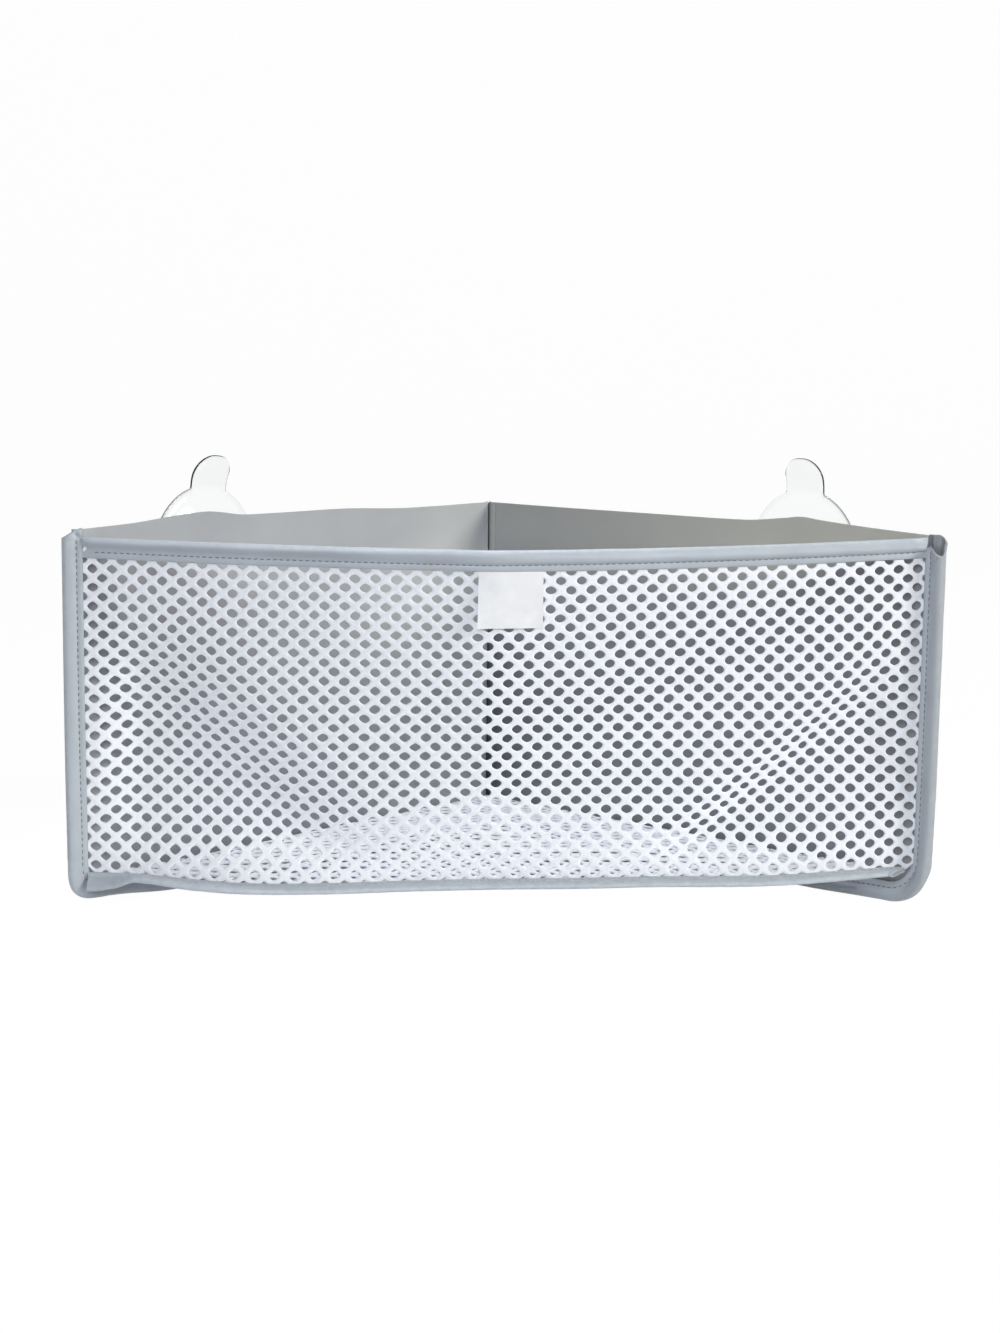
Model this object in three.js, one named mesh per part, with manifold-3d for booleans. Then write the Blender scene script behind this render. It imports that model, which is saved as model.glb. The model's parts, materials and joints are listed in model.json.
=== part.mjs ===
// Corner bath toy organizer: a soft open-topped bag for a bath corner.
// Two vinyl walls meet in a right angle at the back, a net panel closes the front and a net triangle
// is the floor. Folded tape binds every sewn edge. Two clear suction cups hold it to the tiles.
// Millimetres, +X to the viewer's right, +Y to the back, +Z up, standing on the tape of its floor seam.

import * as THREE from 'three';
import { mergeVertices } from 'three/addons/utils/BufferGeometryUtils.js';
import Module from 'manifold-3d';

const wasm = await Module();
wasm.setup();

// Overall size
const FRONT_SPAN = 372; // between the front corners, along the wall sheets' middle
const DEPTH = 186; // from the line through the front corners to the back corner
const WALL_TOP = 165.5; // top of the walls at the front corners
const CUP_RISE = 4; // how far the walls rise where the cups pull them up
const BACK_DROP = 1.5; // how far the walls sink at the back corner
const CREST_SHARE = 0.15; // share of the rise that is left half way from the cup to the back
const CORNER_LIFT = 4; // how far the bottom edges of the walls rise at the front corners
const CORNER_RUN = 70; // from a front corner along the wall to where that rise begins
const BOW_TOP = 34; // how far the front stands out along its centre fold, at the top
const BOW_BOTTOM = 10; // the same at the bottom

// Sheets, tape and the room between them
const VINYL = 1; // wall sheet
const NET = 0.9; // net sheet
const TAPE = 0.8; // binding tape
const FIT = 0.3; // gap between pieces that touch
const BINDING_WIDTH = 9; // width of the folded tape's face
const INNER_CORNER_RADIUS = 5; // where the side tape turns under the front corner, at its inner edge
const CORNER_SEGMENTS = 6; // straight pieces in a rounded corner
const CREST_SEGMENTS = 5; // straight pieces between two points of a wall's top edge
const HALF_FRONT_STEPS = 8; // straight pieces of the front's tapes at each side of the centre fold

// Net
const NET_HALF_COLUMNS = 8; // columns of gaps at each side of the one on the front's centre fold
const NET_ROWS = 7; // rows of gaps up the front, without the staggered rows between them
const FLOOR_HALF_CELLS = 6; // half the number of gaps along the floor's edge at a wall
const GAP_SHARE = 0.6; // share of a cell that its gap takes, across

// Label under the top tape
const LABEL_WIDTH = 28;
const LABEL_HEIGHT = 26;
const LABEL_THICKNESS = 0.5;

// Suction cups, sizes along the cup's own axis counted outward from the middle of the wall sheet
const LEFT_CUP_ALONG = 85; // from the left front corner along the wall to the left cup's axis
const RIGHT_CUP_ALONG = 77; // the same on the right
const CUP_BELOW_TOP = 17.7; // from the wall's crest down to the cup's axis
const CUP_RADIUS = 30;
const CUP_STANDOFF = 14; // from the wall sheet to the plane of the rim
const CUP_HOLLOW = 5.2; // depth of the hollow under the rim
const RIM_FLAT = 3; // width of the flat ring that meets the tiles
const RIM_EDGE = 1.2; // thickness of the rim
const HUB_RADIUS = 7;
const HUB_LENGTH = 4.2;
const NECK_RADIUS = 2.4;
const HEAD_RADIUS = 4;
const HEAD_LENGTH = 2.4;
const HEAD_CHAMFER = 0.8;
const CUP_SEGMENTS = 32;
const LEFT_TURN = 12; // degrees that the left cup is turned, tab toward the back corner
const RIGHT_TURN = 6; // the same for the right cup

// Pull tab on each cup's rim
const TAB_WIDTH = 21;
const TAB_LENGTH = 12.5; // from the bending line to the tip
const TAB_THICKNESS = 1.6;
const TAB_STUB = 1.5; // straight piece between the rim and the bending line
const TAB_CORNER = 8; // radius of the tab's two outer corners
const TAB_ROOT_SEGMENTS = 16;

// Values that follow from the sizes above
const halfSpan = FRONT_SPAN / 2;
const wallAngle = Math.atan2(DEPTH, halfSpan);
const wallCos = Math.cos(wallAngle);
const wallSin = Math.sin(wallAngle);
const edgeInset = TAPE + FIT; // from a tape's outside to the edge of the sheet in it
const cornerRadius = INNER_CORNER_RADIUS + BINDING_WIDTH;
const sewnOffset = VINYL / 2 + FIT + NET / 2; // from the wall's middle to the middle of a net sewn to it
const slotOut = VINYL / 2 + FIT; // the side tape's slot, outward from the wall's middle
const slotIn = VINYL / 2 + FIT + NET + FIT; // the same, inward
const netHalfWidth = halfSpan - sewnOffset / wallSin; // front panel between its bends at the walls
const tapeClear = Math.max(0, INNER_CORNER_RADIUS - slotIn / Math.tan(wallAngle));
// Height of the side tape's inner edge where the nets pass it
const tapeInnerTop = cornerRadius - Math.sqrt(INNER_CORNER_RADIUS ** 2 - tapeClear ** 2);
const floorLevel = CORNER_LIFT + tapeInnerTop + FIT + NET / 2; // middle of the floor sheet
const netBottom = floorLevel + NET + FIT; // where the front panel bends forward over the floor's edge
const topTapeTop = WALL_TOP - edgeInset; // upper edge of the front's top tape
const topTapeBottom = topTapeTop - BINDING_WIDTH;
const netTop = topTapeTop - edgeInset;
const cupHeight = WALL_TOP + CUP_RISE - CUP_BELOW_TOP;
const wallFace = VINYL / 2 + FIT; // where a cup's hub and head face the wall
const tabAxis = CUP_RADIUS + TAB_STUB + FIT + TAB_THICKNESS / 2; // from the cup's axis to the bending line
const tapeEnd = halfSpan - (slotIn + TAPE + FIT * 2) / wallSin - NET; // half length of the front's two tapes

// How far the bottom edge of a wall is raised at a distance from its front corner
function bottomLift(along) {
  const share = (CORNER_RUN - along) / (CORNER_RUN - INNER_CORNER_RADIUS);
  return CORNER_LIFT * THREE.MathUtils.clamp(share, 0, 1);
}

// Makes a solid for joining and cutting from a closed geometry
function solid(geometry) {
  const plain = geometry.clone();
  plain.deleteAttribute('normal');
  plain.deleteAttribute('uv');
  const merged = mergeVertices(plain, 1e-4);
  const mesh = new wasm.Mesh({
    numProp: 3,
    vertProperties: new Float32Array(merged.attributes.position.array),
    triVerts: new Uint32Array(merged.index.array),
  });
  return new wasm.Manifold(mesh);
}

// Makes a geometry from a joined or cut solid
function geometryOf(body) {
  const mesh = body.getMesh();
  const geometry = new THREE.BufferGeometry();
  geometry.setAttribute('position', new THREE.BufferAttribute(new Float32Array(mesh.vertProperties), 3));
  geometry.setIndex(new THREE.BufferAttribute(new Uint32Array(mesh.triVerts), 1));
  geometry.computeVertexNormals();
  return geometry;
}

// Mirrors a geometry in X and turns its faces so that they point out again
function mirrored(geometry) {
  const copy = geometry.clone();
  copy.applyMatrix4(new THREE.Matrix4().makeScale(-1, 1, 1));
  const index = copy.getIndex();
  const order = [];
  const count = index ? index.count : copy.attributes.position.count;
  for (let i = 0; i < count; i += 3) {
    const corner = [i, i + 2, i + 1];
    for (const k of corner) {
      order.push(index ? index.getX(k) : k);
    }
  }
  copy.setIndex(order);
  copy.computeVertexNormals();
  return copy;
}

// Extrudes a shape drawn along the wall and up it, between two distances from the wall's middle
function slab(shape, from, to) {
  const geometry = new THREE.ExtrudeGeometry(shape, {
    depth: to - from,
    bevelEnabled: false,
    curveSegments: CORNER_SEGMENTS,
  });
  geometry.rotateX(Math.PI / 2);
  geometry.translate(0, to, 0);
  return geometry;
}

// How far the front stands out at a point of it: a fold down the centre that fades to the corners
function bow(x, z) {
  const share = (z - netBottom) / (netTop - netBottom);
  const atCentre = BOW_BOTTOM + (BOW_TOP - BOW_BOTTOM) * share;
  return atCentre * Math.max(0, 1 - Math.abs(x) / netHalfWidth);
}

// Extrudes a section drawn in Y and Z along the front, bent at the centre fold
function alongFront(shape, halfLength, bowHeight) {
  const geometry = new THREE.ExtrudeGeometry(shape, {
    depth: halfLength * 2,
    steps: HALF_FRONT_STEPS * 2,
    bevelEnabled: false,
  });
  geometry.translate(0, 0, -halfLength);
  geometry.applyMatrix4(new THREE.Matrix4().makeBasis(
    new THREE.Vector3(0, 1, 0),
    new THREE.Vector3(0, 0, 1),
    new THREE.Vector3(1, 0, 0),
  ));
  const position = geometry.attributes.position;
  for (let i = 0; i < position.count; i += 1) {
    const x = position.getX(i);
    const z = bowHeight ?? position.getZ(i);
    position.setY(i, position.getY(i) - bow(x, z));
  }
  geometry.computeVertexNormals();
  return geometry;
}

// A closed outline through a list of points
function outline(points) {
  return new THREE.Shape(points.map(([x, y]) => new THREE.Vector2(x, y)));
}

// A sheet of even thickness from points that know their place on both faces.
// Each face of the list runs anticlockwise seen from the front.
function thickSheet(points, faces) {
  const count = points.length;
  const positions = [];
  for (const point of points) {
    positions.push(...point.front);
  }
  for (const point of points) {
    positions.push(...point.back);
  }
  const indices = [];
  const edges = new Map();
  for (const face of faces) {
    for (let k = 1; k + 1 < face.length; k += 1) {
      indices.push(face[0], face[k], face[k + 1]);
      indices.push(count + face[0], count + face[k + 1], count + face[k]);
    }
    face.forEach((from, k) => {
      const to = face[(k + 1) % face.length];
      edges.set(`${from}_${to}`, [from, to]);
    });
  }
  for (const [from, to] of edges.values()) {
    if (!edges.has(`${to}_${from}`)) {
      indices.push(from, count + from, count + to);
      indices.push(from, count + to, to);
    }
  }
  const geometry = new THREE.BufferGeometry();
  geometry.setAttribute('position', new THREE.Float32BufferAttribute(positions, 3));
  geometry.setIndex(indices);
  geometry.computeVertexNormals();
  return geometry;
}

// A list of sheet points in which each name is kept once
function pointList() {
  const points = [];
  const known = new Map();
  function add(name, make) {
    if (!known.has(name)) {
      known.set(name, points.length);
      points.push(make());
    }
    return known.get(name);
  }
  return { points, add };
}

// The faces of a net cell: a frame round a gap of the same shape
function cellFaces(corners, gap) {
  return corners.map((corner, k) => {
    const next = (k + 1) % corners.length;
    return [corner, corners[next], gap[next], gap[k]];
  });
}

// Front net panel: diamond gaps, a straight edge in the top tape, an edge bent along each wall and
// an edge bent forward over the floor's edge
function makeFrontNet() {
  const columns = NET_HALF_COLUMNS * 2 + 1;
  const lastP = columns * 2;
  const lastQ = NET_ROWS * 2;
  const stepX = netHalfWidth / columns;
  const stepZ = (topTapeBottom - netBottom) / lastQ;
  const half = NET / 2;
  const mitre = half * Math.tan(wallAngle / 2);
  const sewnLength = sewnOffset / Math.tan(wallAngle) + BINDING_WIDTH - edgeInset;
  const { points, add } = pointList();
  const faces = [];

  // A point of the panel between its bends, with the cut of the bends where it lies on one
  function panelPoint(p, q) {
    const x = p * stepX - netHalfWidth;
    const z = netBottom + q * stepZ;
    const side = (p >= lastP) - (p <= 0);
    const dx = side * mitre;
    const dz = q <= 0 ? half : 0;
    const y = -bow(x, z);
    return {
      front: [x - dx, y - half, z + dz],
      back: [x + dx, y + half, z - dz],
    };
  }
  const at = (p, q) => add(`panel ${p} ${q}`, () => panelPoint(p, q));

  // Edge in the top tape, edge along a wall, and edge over the floor
  function topPoint(p) {
    const point = panelPoint(p, lastQ);
    const x = p * stepX - netHalfWidth;
    const lean = bow(x, netTop) - bow(x, topTapeBottom);
    const raise = ([px, py]) => [px, py - lean, netTop];
    return { front: raise(point.front), back: raise(point.back) };
  }
  function wallPoint(p, q) {
    const side = p > 0 ? 1 : -1;
    const x = side * (netHalfWidth + sewnLength * wallCos);
    const y = -sewnLength * wallSin;
    const z = netBottom + q * stepZ;
    return {
      front: [x - side * half * wallSin, y - half * wallCos, z],
      back: [x + side * half * wallSin, y + half * wallCos, z],
    };
  }
  function floorEdgePoint(p) {
    const x = p * stepX - netHalfWidth;
    const y = -bow(x, netBottom) - BINDING_WIDTH + edgeInset;
    return { front: [x, y, netBottom + half], back: [x, y, netBottom - half] };
  }
  const top = (p) => add(`top ${p}`, () => topPoint(p));
  const wall = (p, q) => add(`wall ${p} ${q}`, () => wallPoint(p, q));
  const floorEdge = (p) => add(`floor ${p}`, () => floorEdgePoint(p));

  for (let p = 0; p <= lastP; p += 1) {
    for (let q = 0; q <= lastQ; q += 1) {
      if ((p + q) % 2 === 0) {
        const corners = [[p, q - 1], [p + 1, q], [p, q + 1], [p - 1, q]];
        const inside = corners.filter(([cp, cq]) => cp >= 0 && cq >= 0 && cp <= lastP && cq <= lastQ);
        const ring = inside.map(([cp, cq]) => at(cp, cq));
        if (inside.length === corners.length) {
          const gap = corners.map(([cp, cq]) => at(p + (cp - p) * GAP_SHARE, q + (cq - q) * GAP_SHARE));
          faces.push(...cellFaces(ring, gap));
        } else if (inside.length === 3) {
          faces.push(ring);
        } else {
          const farCorner = p > 0 && q > 0;
          faces.push([at(p, q), ...(farCorner ? ring.reverse() : ring)]);
        }
      }
    }
  }

  const alongX = [0];
  for (let p = 1; p < lastP; p += 2) {
    alongX.push(p);
  }
  alongX.push(lastP);
  for (let k = 0; k + 1 < alongX.length; k += 1) {
    const [from, to] = [alongX[k], alongX[k + 1]];
    faces.push([at(from, lastQ), at(to, lastQ), top(to), top(from)]);
    if (from > 0 && to < lastP) {
      faces.push([floorEdge(from), floorEdge(to), at(to, 0), at(from, 0)]);
    }
  }
  const alongZ = [];
  for (let q = 1; q < lastQ; q += 2) {
    alongZ.push(q);
  }
  alongZ.push(lastQ);
  for (let k = 0; k + 1 < alongZ.length; k += 1) {
    const [from, to] = [alongZ[k], alongZ[k + 1]];
    faces.push([wall(0, from), at(0, from), at(0, to), wall(0, to)]);
    faces.push([at(lastP, from), wall(lastP, from), wall(lastP, to), at(lastP, to)]);
  }
  return thickSheet(points, faces);
}

// Floor net: gaps in rows along both walls, an edge bent down along each wall and a flat edge in front
function makeFloorNet() {
  const cells = FLOOR_HALF_CELLS * 2;
  const cell = netHalfWidth / wallCos / cells;
  const backY = DEPTH - sewnOffset / wallCos;
  const half = NET / 2;
  const { points, add } = pointList();
  const faces = [];

  // A point counted in cells from the back corner along the left and the right wall.
  // Both faces shift outward where the sheet bends down at a wall.
  function floorPoint(i, j) {
    const x = (j - i) * cell * wallCos;
    const y = backY - (i + j) * cell * wallSin;
    const atLeft = j <= 0;
    const atRight = i <= 0;
    let shift = [0, 0];
    if (atLeft && atRight) {
      shift = [0, half / wallCos];
    } else if (atLeft) {
      shift = [-half * wallSin, half * wallCos];
    } else if (atRight) {
      shift = [half * wallSin, half * wallCos];
    }
    return {
      front: [x + shift[0], y + shift[1], floorLevel + half],
      back: [x - shift[0], y - shift[1], floorLevel - half],
    };
  }
  function hemPoint(i, j) {
    const point = floorPoint(i, j);
    const along = (cells - i - j) * cell + sewnOffset / Math.tan(wallAngle);
    const bottom = edgeInset + bottomLift(along);
    return {
      front: [point.front[0], point.front[1], bottom],
      back: [point.back[0], point.back[1], bottom],
    };
  }
  function frontPoint(i, j) {
    const x = (j - i) * cell * wallCos;
    const y = -bow(x, netBottom) - BINDING_WIDTH + edgeInset;
    return { front: [x, y, floorLevel + half], back: [x, y, floorLevel - half] };
  }
  const at = (i, j) => add(`floor ${i} ${j}`, () => floorPoint(i, j));
  const hem = (i, j) => add(`hem ${i} ${j}`, () => hemPoint(i, j));
  const front = (i, j) => add(`front ${i} ${j}`, () => frontPoint(i, j));

  for (let i = 0; i < cells; i += 1) {
    for (let j = 0; i + j < cells; j += 1) {
      if (i + j + 1 === cells) {
        faces.push([at(i, j), at(i + 1, j), at(i, j + 1)]);
      } else {
        const corners = [[i, j], [i + 1, j], [i + 1, j + 1], [i, j + 1]];
        const ring = corners.map(([ci, cj]) => at(ci, cj));
        const middle = 0.5;
        const gap = corners.map(([ci, cj]) => at(
          i + middle + (ci - i - middle) * GAP_SHARE,
          j + middle + (cj - j - middle) * GAP_SHARE,
        ));
        faces.push(...cellFaces(ring, gap));
      }
    }
  }
  for (let i = 1; i + 1 < cells; i += 1) {
    const j = cells - i;
    faces.push([at(i, j), at(i + 1, j - 1), front(i + 1, j - 1), front(i, j)]);
    faces.push([at(i + 1, 0), at(i, 0), hem(i, 0), hem(i + 1, 0)]);
    faces.push([at(0, i), at(0, i + 1), hem(0, i + 1), hem(0, i)]);
  }
  return thickSheet(points, faces);
}

// Where the wall sheet bends back into the seam, counted along the wall
const backBend = (halfSpan - (FIT + VINYL) / 2) / wallCos;
const seamHalfSlot = FIT / 2 + VINYL + FIT;
const seamStart = (VINYL / 2 + FIT + wallSin * (halfSpan - seamHalfSlot)) / wallCos;
const seamEnd = seamStart + BINDING_WIDTH;

// Wall: a vinyl sheet seen from above as a strip whose back end is bent into the back seam, cut to the
// wall's side outline, with a round hole for the cup's neck
function makeWall(cupAlong) {
  const front = edgeInset - BINDING_WIDTH;
  const bendAngle = Math.PI / 2 - wallAngle;
  const mitre = VINYL / 2 * Math.tan(bendAngle / 2);
  const seamLength = seamEnd - edgeInset - backBend * wallSin;
  const endU = backBend + seamLength * wallSin;
  const endV = seamLength * wallCos;
  const half = VINYL / 2;
  const plan = outline([
    [front, -half],
    [backBend + mitre, -half],
    [endU + half * wallCos, endV - half * wallSin],
    [endU - half * wallCos, endV + half * wallSin],
    [backBend - mitre, half],
    [front, half],
  ]);
  const crest = WALL_TOP + CUP_RISE;
  const strip = new THREE.ExtrudeGeometry(plan, { depth: crest + FIT, bevelEnabled: false });

  const radius = cornerRadius - edgeInset;
  const back = WALL_TOP - BACK_DROP;
  const farU = endU + BINDING_WIDTH;
  const side = new THREE.Shape();
  side.moveTo(front, CORNER_LIFT + cornerRadius);
  side.absarc(front + radius, CORNER_LIFT + cornerRadius, radius, Math.PI, Math.PI * 1.5, false);
  side.lineTo(CORNER_RUN, edgeInset);
  side.lineTo(farU, edgeInset);
  side.lineTo(farU, back);
  side.lineTo(backBend, back);
  const between = (cupAlong + backBend) / 2;
  side.splineThru([
    new THREE.Vector2(between, WALL_TOP + CUP_RISE * CREST_SHARE),
    new THREE.Vector2(cupAlong, crest),
    new THREE.Vector2(0, WALL_TOP),
  ]);
  side.lineTo(front, WALL_TOP);
  side.closePath();
  const cutter = new THREE.ExtrudeGeometry(side, {
    depth: endV * 2 + BINDING_WIDTH * 2,
    bevelEnabled: false,
    curveSegments: CREST_SEGMENTS,
  });
  cutter.rotateX(Math.PI / 2);
  cutter.translate(0, endV + BINDING_WIDTH, 0);

  const hole = new THREE.CylinderGeometry(
    NECK_RADIUS + FIT,
    NECK_RADIUS + FIT,
    BINDING_WIDTH,
    CUP_SEGMENTS,
  );
  hole.translate(cupAlong, 0, cupHeight);
  return geometryOf(solid(strip).intersect(solid(cutter)).subtract(solid(hole)));
}

// Side tape: folded round the wall's front edge, the rounded corner under it and the bottom edge
function makeSideTape() {
  const front = -BINDING_WIDTH;
  const end = (halfSpan - FIT - (slotIn + TAPE) * wallSin) / wallCos;
  const inner = INNER_CORNER_RADIUS;
  const band = new THREE.Shape();
  const centre = CORNER_LIFT + cornerRadius;
  band.moveTo(front, WALL_TOP);
  band.lineTo(front, centre);
  band.absarc(inner, centre, cornerRadius, Math.PI, Math.PI * 1.5, false);
  band.lineTo(CORNER_RUN, 0);
  band.lineTo(end, 0);
  band.lineTo(end, BINDING_WIDTH);
  band.lineTo(CORNER_RUN, BINDING_WIDTH);
  band.lineTo(inner, CORNER_LIFT + BINDING_WIDTH);
  band.absarc(inner, centre, inner, Math.PI * 1.5, Math.PI, true);
  band.lineTo(0, WALL_TOP);
  band.closePath();

  const slotRadius = cornerRadius - TAPE;
  const slot = new THREE.Shape();
  slot.moveTo(front + TAPE, WALL_TOP + TAPE);
  slot.lineTo(front + TAPE, centre);
  slot.absarc(inner, centre, slotRadius, Math.PI, Math.PI * 1.5, false);
  slot.lineTo(CORNER_RUN, TAPE);
  slot.lineTo(end + TAPE, TAPE);
  slot.lineTo(end + TAPE, WALL_TOP + TAPE);
  slot.closePath();
  return geometryOf(solid(slab(band, -slotIn - TAPE, slotOut + TAPE)).subtract(
    solid(slab(slot, -slotIn, slotOut)),
  ));
}

// Top tape of the front: folded over the net's upper edge
function makeTopTape() {
  const slot = NET / 2 + FIT;
  const face = slot + TAPE;
  return alongFront(outline([
    [-face, topTapeBottom],
    [-slot, topTapeBottom],
    [-slot, topTapeTop - TAPE],
    [slot, topTapeTop - TAPE],
    [slot, topTapeBottom],
    [face, topTapeBottom],
    [face, topTapeTop],
    [-face, topTapeTop],
  ]), tapeEnd);
}

// Bottom tape of the front: folded from in front round the edges of the net and the floor
function makeBottomTape() {
  const low = floorLevel - NET / 2 - FIT;
  const high = netBottom + NET / 2 + FIT;
  const tip = -BINDING_WIDTH;
  const open = -NET / 2 - FIT * 3;
  return alongFront(outline([
    [tip, low - TAPE],
    [open, low - TAPE],
    [open, low],
    [tip + TAPE, low],
    [tip + TAPE, high],
    [open, high],
    [open, high + TAPE],
    [tip, high + TAPE],
  ]), tapeEnd, netBottom);
}

// Back tape: folded from behind round the two walls' edges in the back seam
function makeBackTape() {
  const slot = seamHalfSlot;
  const face = slot + TAPE;
  const section = outline([
    [-face, seamStart],
    [-slot, seamStart],
    [-slot, seamEnd - TAPE],
    [slot, seamEnd - TAPE],
    [slot, seamStart],
    [face, seamStart],
    [face, seamEnd],
    [-face, seamEnd],
  ]);
  return new THREE.ExtrudeGeometry(section, { depth: WALL_TOP - BACK_DROP, bevelEnabled: false });
}

// Label: a small sheet hanging in front of the net from under the top tape
function makeLabel() {
  const near = -NET / 2 - FIT;
  const far = near - LABEL_THICKNESS;
  const top = topTapeBottom - FIT;
  const bottom = top - LABEL_HEIGHT;
  return alongFront(outline([
    [far, bottom],
    [near, bottom],
    [near, top],
    [far, top],
  ]), LABEL_WIDTH / 2);
}

// Suction cup: turned about its axis, with a head inside the bag, a neck in the wall's hole, a hub, a
// hollow bell and a straight stub on the rim where the tab begins
function makeCup() {
  const headEnd = -wallFace - HEAD_LENGTH;
  const hubEnd = wallFace + HUB_LENGTH;
  const rimBack = CUP_STANDOFF - RIM_EDGE;
  const lip = CUP_RADIUS - RIM_FLAT;
  const bell = new THREE.QuadraticBezierCurve(
    new THREE.Vector2(HUB_RADIUS, hubEnd),
    new THREE.Vector2((HUB_RADIUS + CUP_RADIUS) / 2, rimBack - RIM_EDGE),
    new THREE.Vector2(CUP_RADIUS, rimBack),
  );
  const hollow = new THREE.QuadraticBezierCurve(
    new THREE.Vector2(lip, CUP_STANDOFF),
    new THREE.Vector2(lip / 2, CUP_STANDOFF - CUP_HOLLOW),
    new THREE.Vector2(0, CUP_STANDOFF - CUP_HOLLOW),
  );
  const profile = [
    new THREE.Vector2(0, headEnd),
    new THREE.Vector2(HEAD_RADIUS - HEAD_CHAMFER, headEnd),
    new THREE.Vector2(HEAD_RADIUS, headEnd + HEAD_CHAMFER),
    new THREE.Vector2(HEAD_RADIUS, -wallFace),
    new THREE.Vector2(NECK_RADIUS, -wallFace),
    new THREE.Vector2(NECK_RADIUS, wallFace),
    new THREE.Vector2(HUB_RADIUS, wallFace),
    ...bell.getPoints(CORNER_SEGMENTS),
    new THREE.Vector2(CUP_RADIUS, CUP_STANDOFF),
    ...hollow.getPoints(CORNER_SEGMENTS),
  ];
  const turned = new THREE.LatheGeometry(profile, CUP_SEGMENTS);
  const half = TAB_WIDTH / 2;
  const stubTop = CUP_RADIUS + TAB_STUB;
  const stub = slab(outline([
    [-half, lip],
    [half, lip],
    [half, stubTop],
    [-half, stubTop],
  ]), CUP_STANDOFF - TAB_THICKNESS, CUP_STANDOFF);
  return geometryOf(solid(turned).add(solid(stub)));
}

// Pull tab: a flat tongue with round outer corners and a half-round root on its bending line
function makeTab() {
  const half = TAB_WIDTH / 2;
  const tip = tabAxis + TAB_LENGTH;
  const tongue = new THREE.Shape();
  tongue.moveTo(-half, tabAxis);
  tongue.lineTo(half, tabAxis);
  tongue.lineTo(half, tip - TAB_CORNER);
  tongue.absarc(half - TAB_CORNER, tip - TAB_CORNER, TAB_CORNER, 0, Math.PI / 2, false);
  tongue.lineTo(TAB_CORNER - half, tip);
  tongue.absarc(TAB_CORNER - half, tip - TAB_CORNER, TAB_CORNER, Math.PI / 2, Math.PI, false);
  tongue.closePath();
  const root = new THREE.CylinderGeometry(
    TAB_THICKNESS / 2,
    TAB_THICKNESS / 2,
    TAB_WIDTH,
    TAB_ROOT_SEGMENTS,
  );
  root.rotateZ(Math.PI / 2);
  root.translate(0, CUP_STANDOFF - TAB_THICKNESS / 2, tabAxis);
  const plate = slab(tongue, CUP_STANDOFF - TAB_THICKNESS, CUP_STANDOFF);
  return geometryOf(solid(plate).add(solid(root)));
}

// Materials, one for each mesh
const looks = {
  vinyl: { color: 0xb0b2b4, roughness: 0.5, metalness: 0 },
  net: { color: 0xf0f2f6, roughness: 0.9, metalness: 0 },
  tape: { color: 0xa3acb6, roughness: 0.45, metalness: 0 },
  label: { color: 0xe8e8ea, roughness: 0.4, metalness: 0 },
  clear: { color: 0xe4ecea, roughness: 0.1, metalness: 0, transparent: true, opacity: 0.45 },
};

// A named piece of the organizer
function piece(name, geometry, look) {
  const mesh = new THREE.Mesh(geometry, new THREE.MeshStandardMaterial(looks[look]));
  mesh.name = name;
  return mesh;
}

// One wall with its tape, its cup and the cup's tab, in a group that stands along the wall.
// The hand is 1 on the left and -1 on the right, where every shape is mirrored.
function makeSide(name, hand, cupAlong, turn) {
  const handed = (geometry) => (hand < 0 ? mirrored(geometry) : geometry);
  const side = new THREE.Group();
  side.position.set(-hand * halfSpan, 0, 0);
  side.rotation.z = hand * wallAngle;
  side.add(piece(`${name}_wall`, handed(makeWall(cupAlong)), 'vinyl'));
  side.add(piece(`${name}_side_binding`, handed(makeSideTape()), 'tape'));
  const cup = new THREE.Group();
  cup.position.set(hand * cupAlong, 0, cupHeight);
  cup.rotation.y = hand * THREE.MathUtils.degToRad(turn);
  cup.add(piece(`${name}_suction_cup`, handed(makeCup()), 'clear'));
  cup.add(piece(`${name}_pull_tab`, handed(makeTab()), 'clear'));
  side.add(cup);
  return side;
}

const organizer = new THREE.Group();
organizer.add(makeSide('left', 1, LEFT_CUP_ALONG, LEFT_TURN));
organizer.add(makeSide('right', -1, RIGHT_CUP_ALONG, RIGHT_TURN));
organizer.add(piece('front_net', makeFrontNet(), 'net'));
organizer.add(piece('floor_net', makeFloorNet(), 'net'));
organizer.add(piece('front_top_binding', makeTopTape(), 'tape'));
organizer.add(piece('front_bottom_binding', makeBottomTape(), 'tape'));
organizer.add(piece('back_seam_binding', makeBackTape(), 'tape'));
organizer.add(piece('front_label', makeLabel(), 'label'));

// The origin is under the middle of the whole organizer, on the surface that it stands on
const bounds = new THREE.Box3().setFromObject(organizer, true);
organizer.position.set(
  -(bounds.min.x + bounds.max.x) / 2,
  -(bounds.min.y + bounds.max.y) / 2,
  -bounds.min.z,
);

const part = new THREE.Group();
part.add(organizer);
export default part;
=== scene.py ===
"""Corner bath toy organizer: the dressed part, laid out as an add-on and run as a script.

Two vinyl walls, a net front, a net floor, folded tape with stitching, a bare label and two clear suction cups are
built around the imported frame. Metres, +X to the viewer's right, +Y to the back corner, +Z up.
"""

import json
import math

import bpy
import numpy as np
from bpy.props import FloatProperty, FloatVectorProperty, IntProperty, PointerProperty
from bpy.types import Operator, Panel, PropertyGroup
from mathutils import Matrix, Vector


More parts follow.
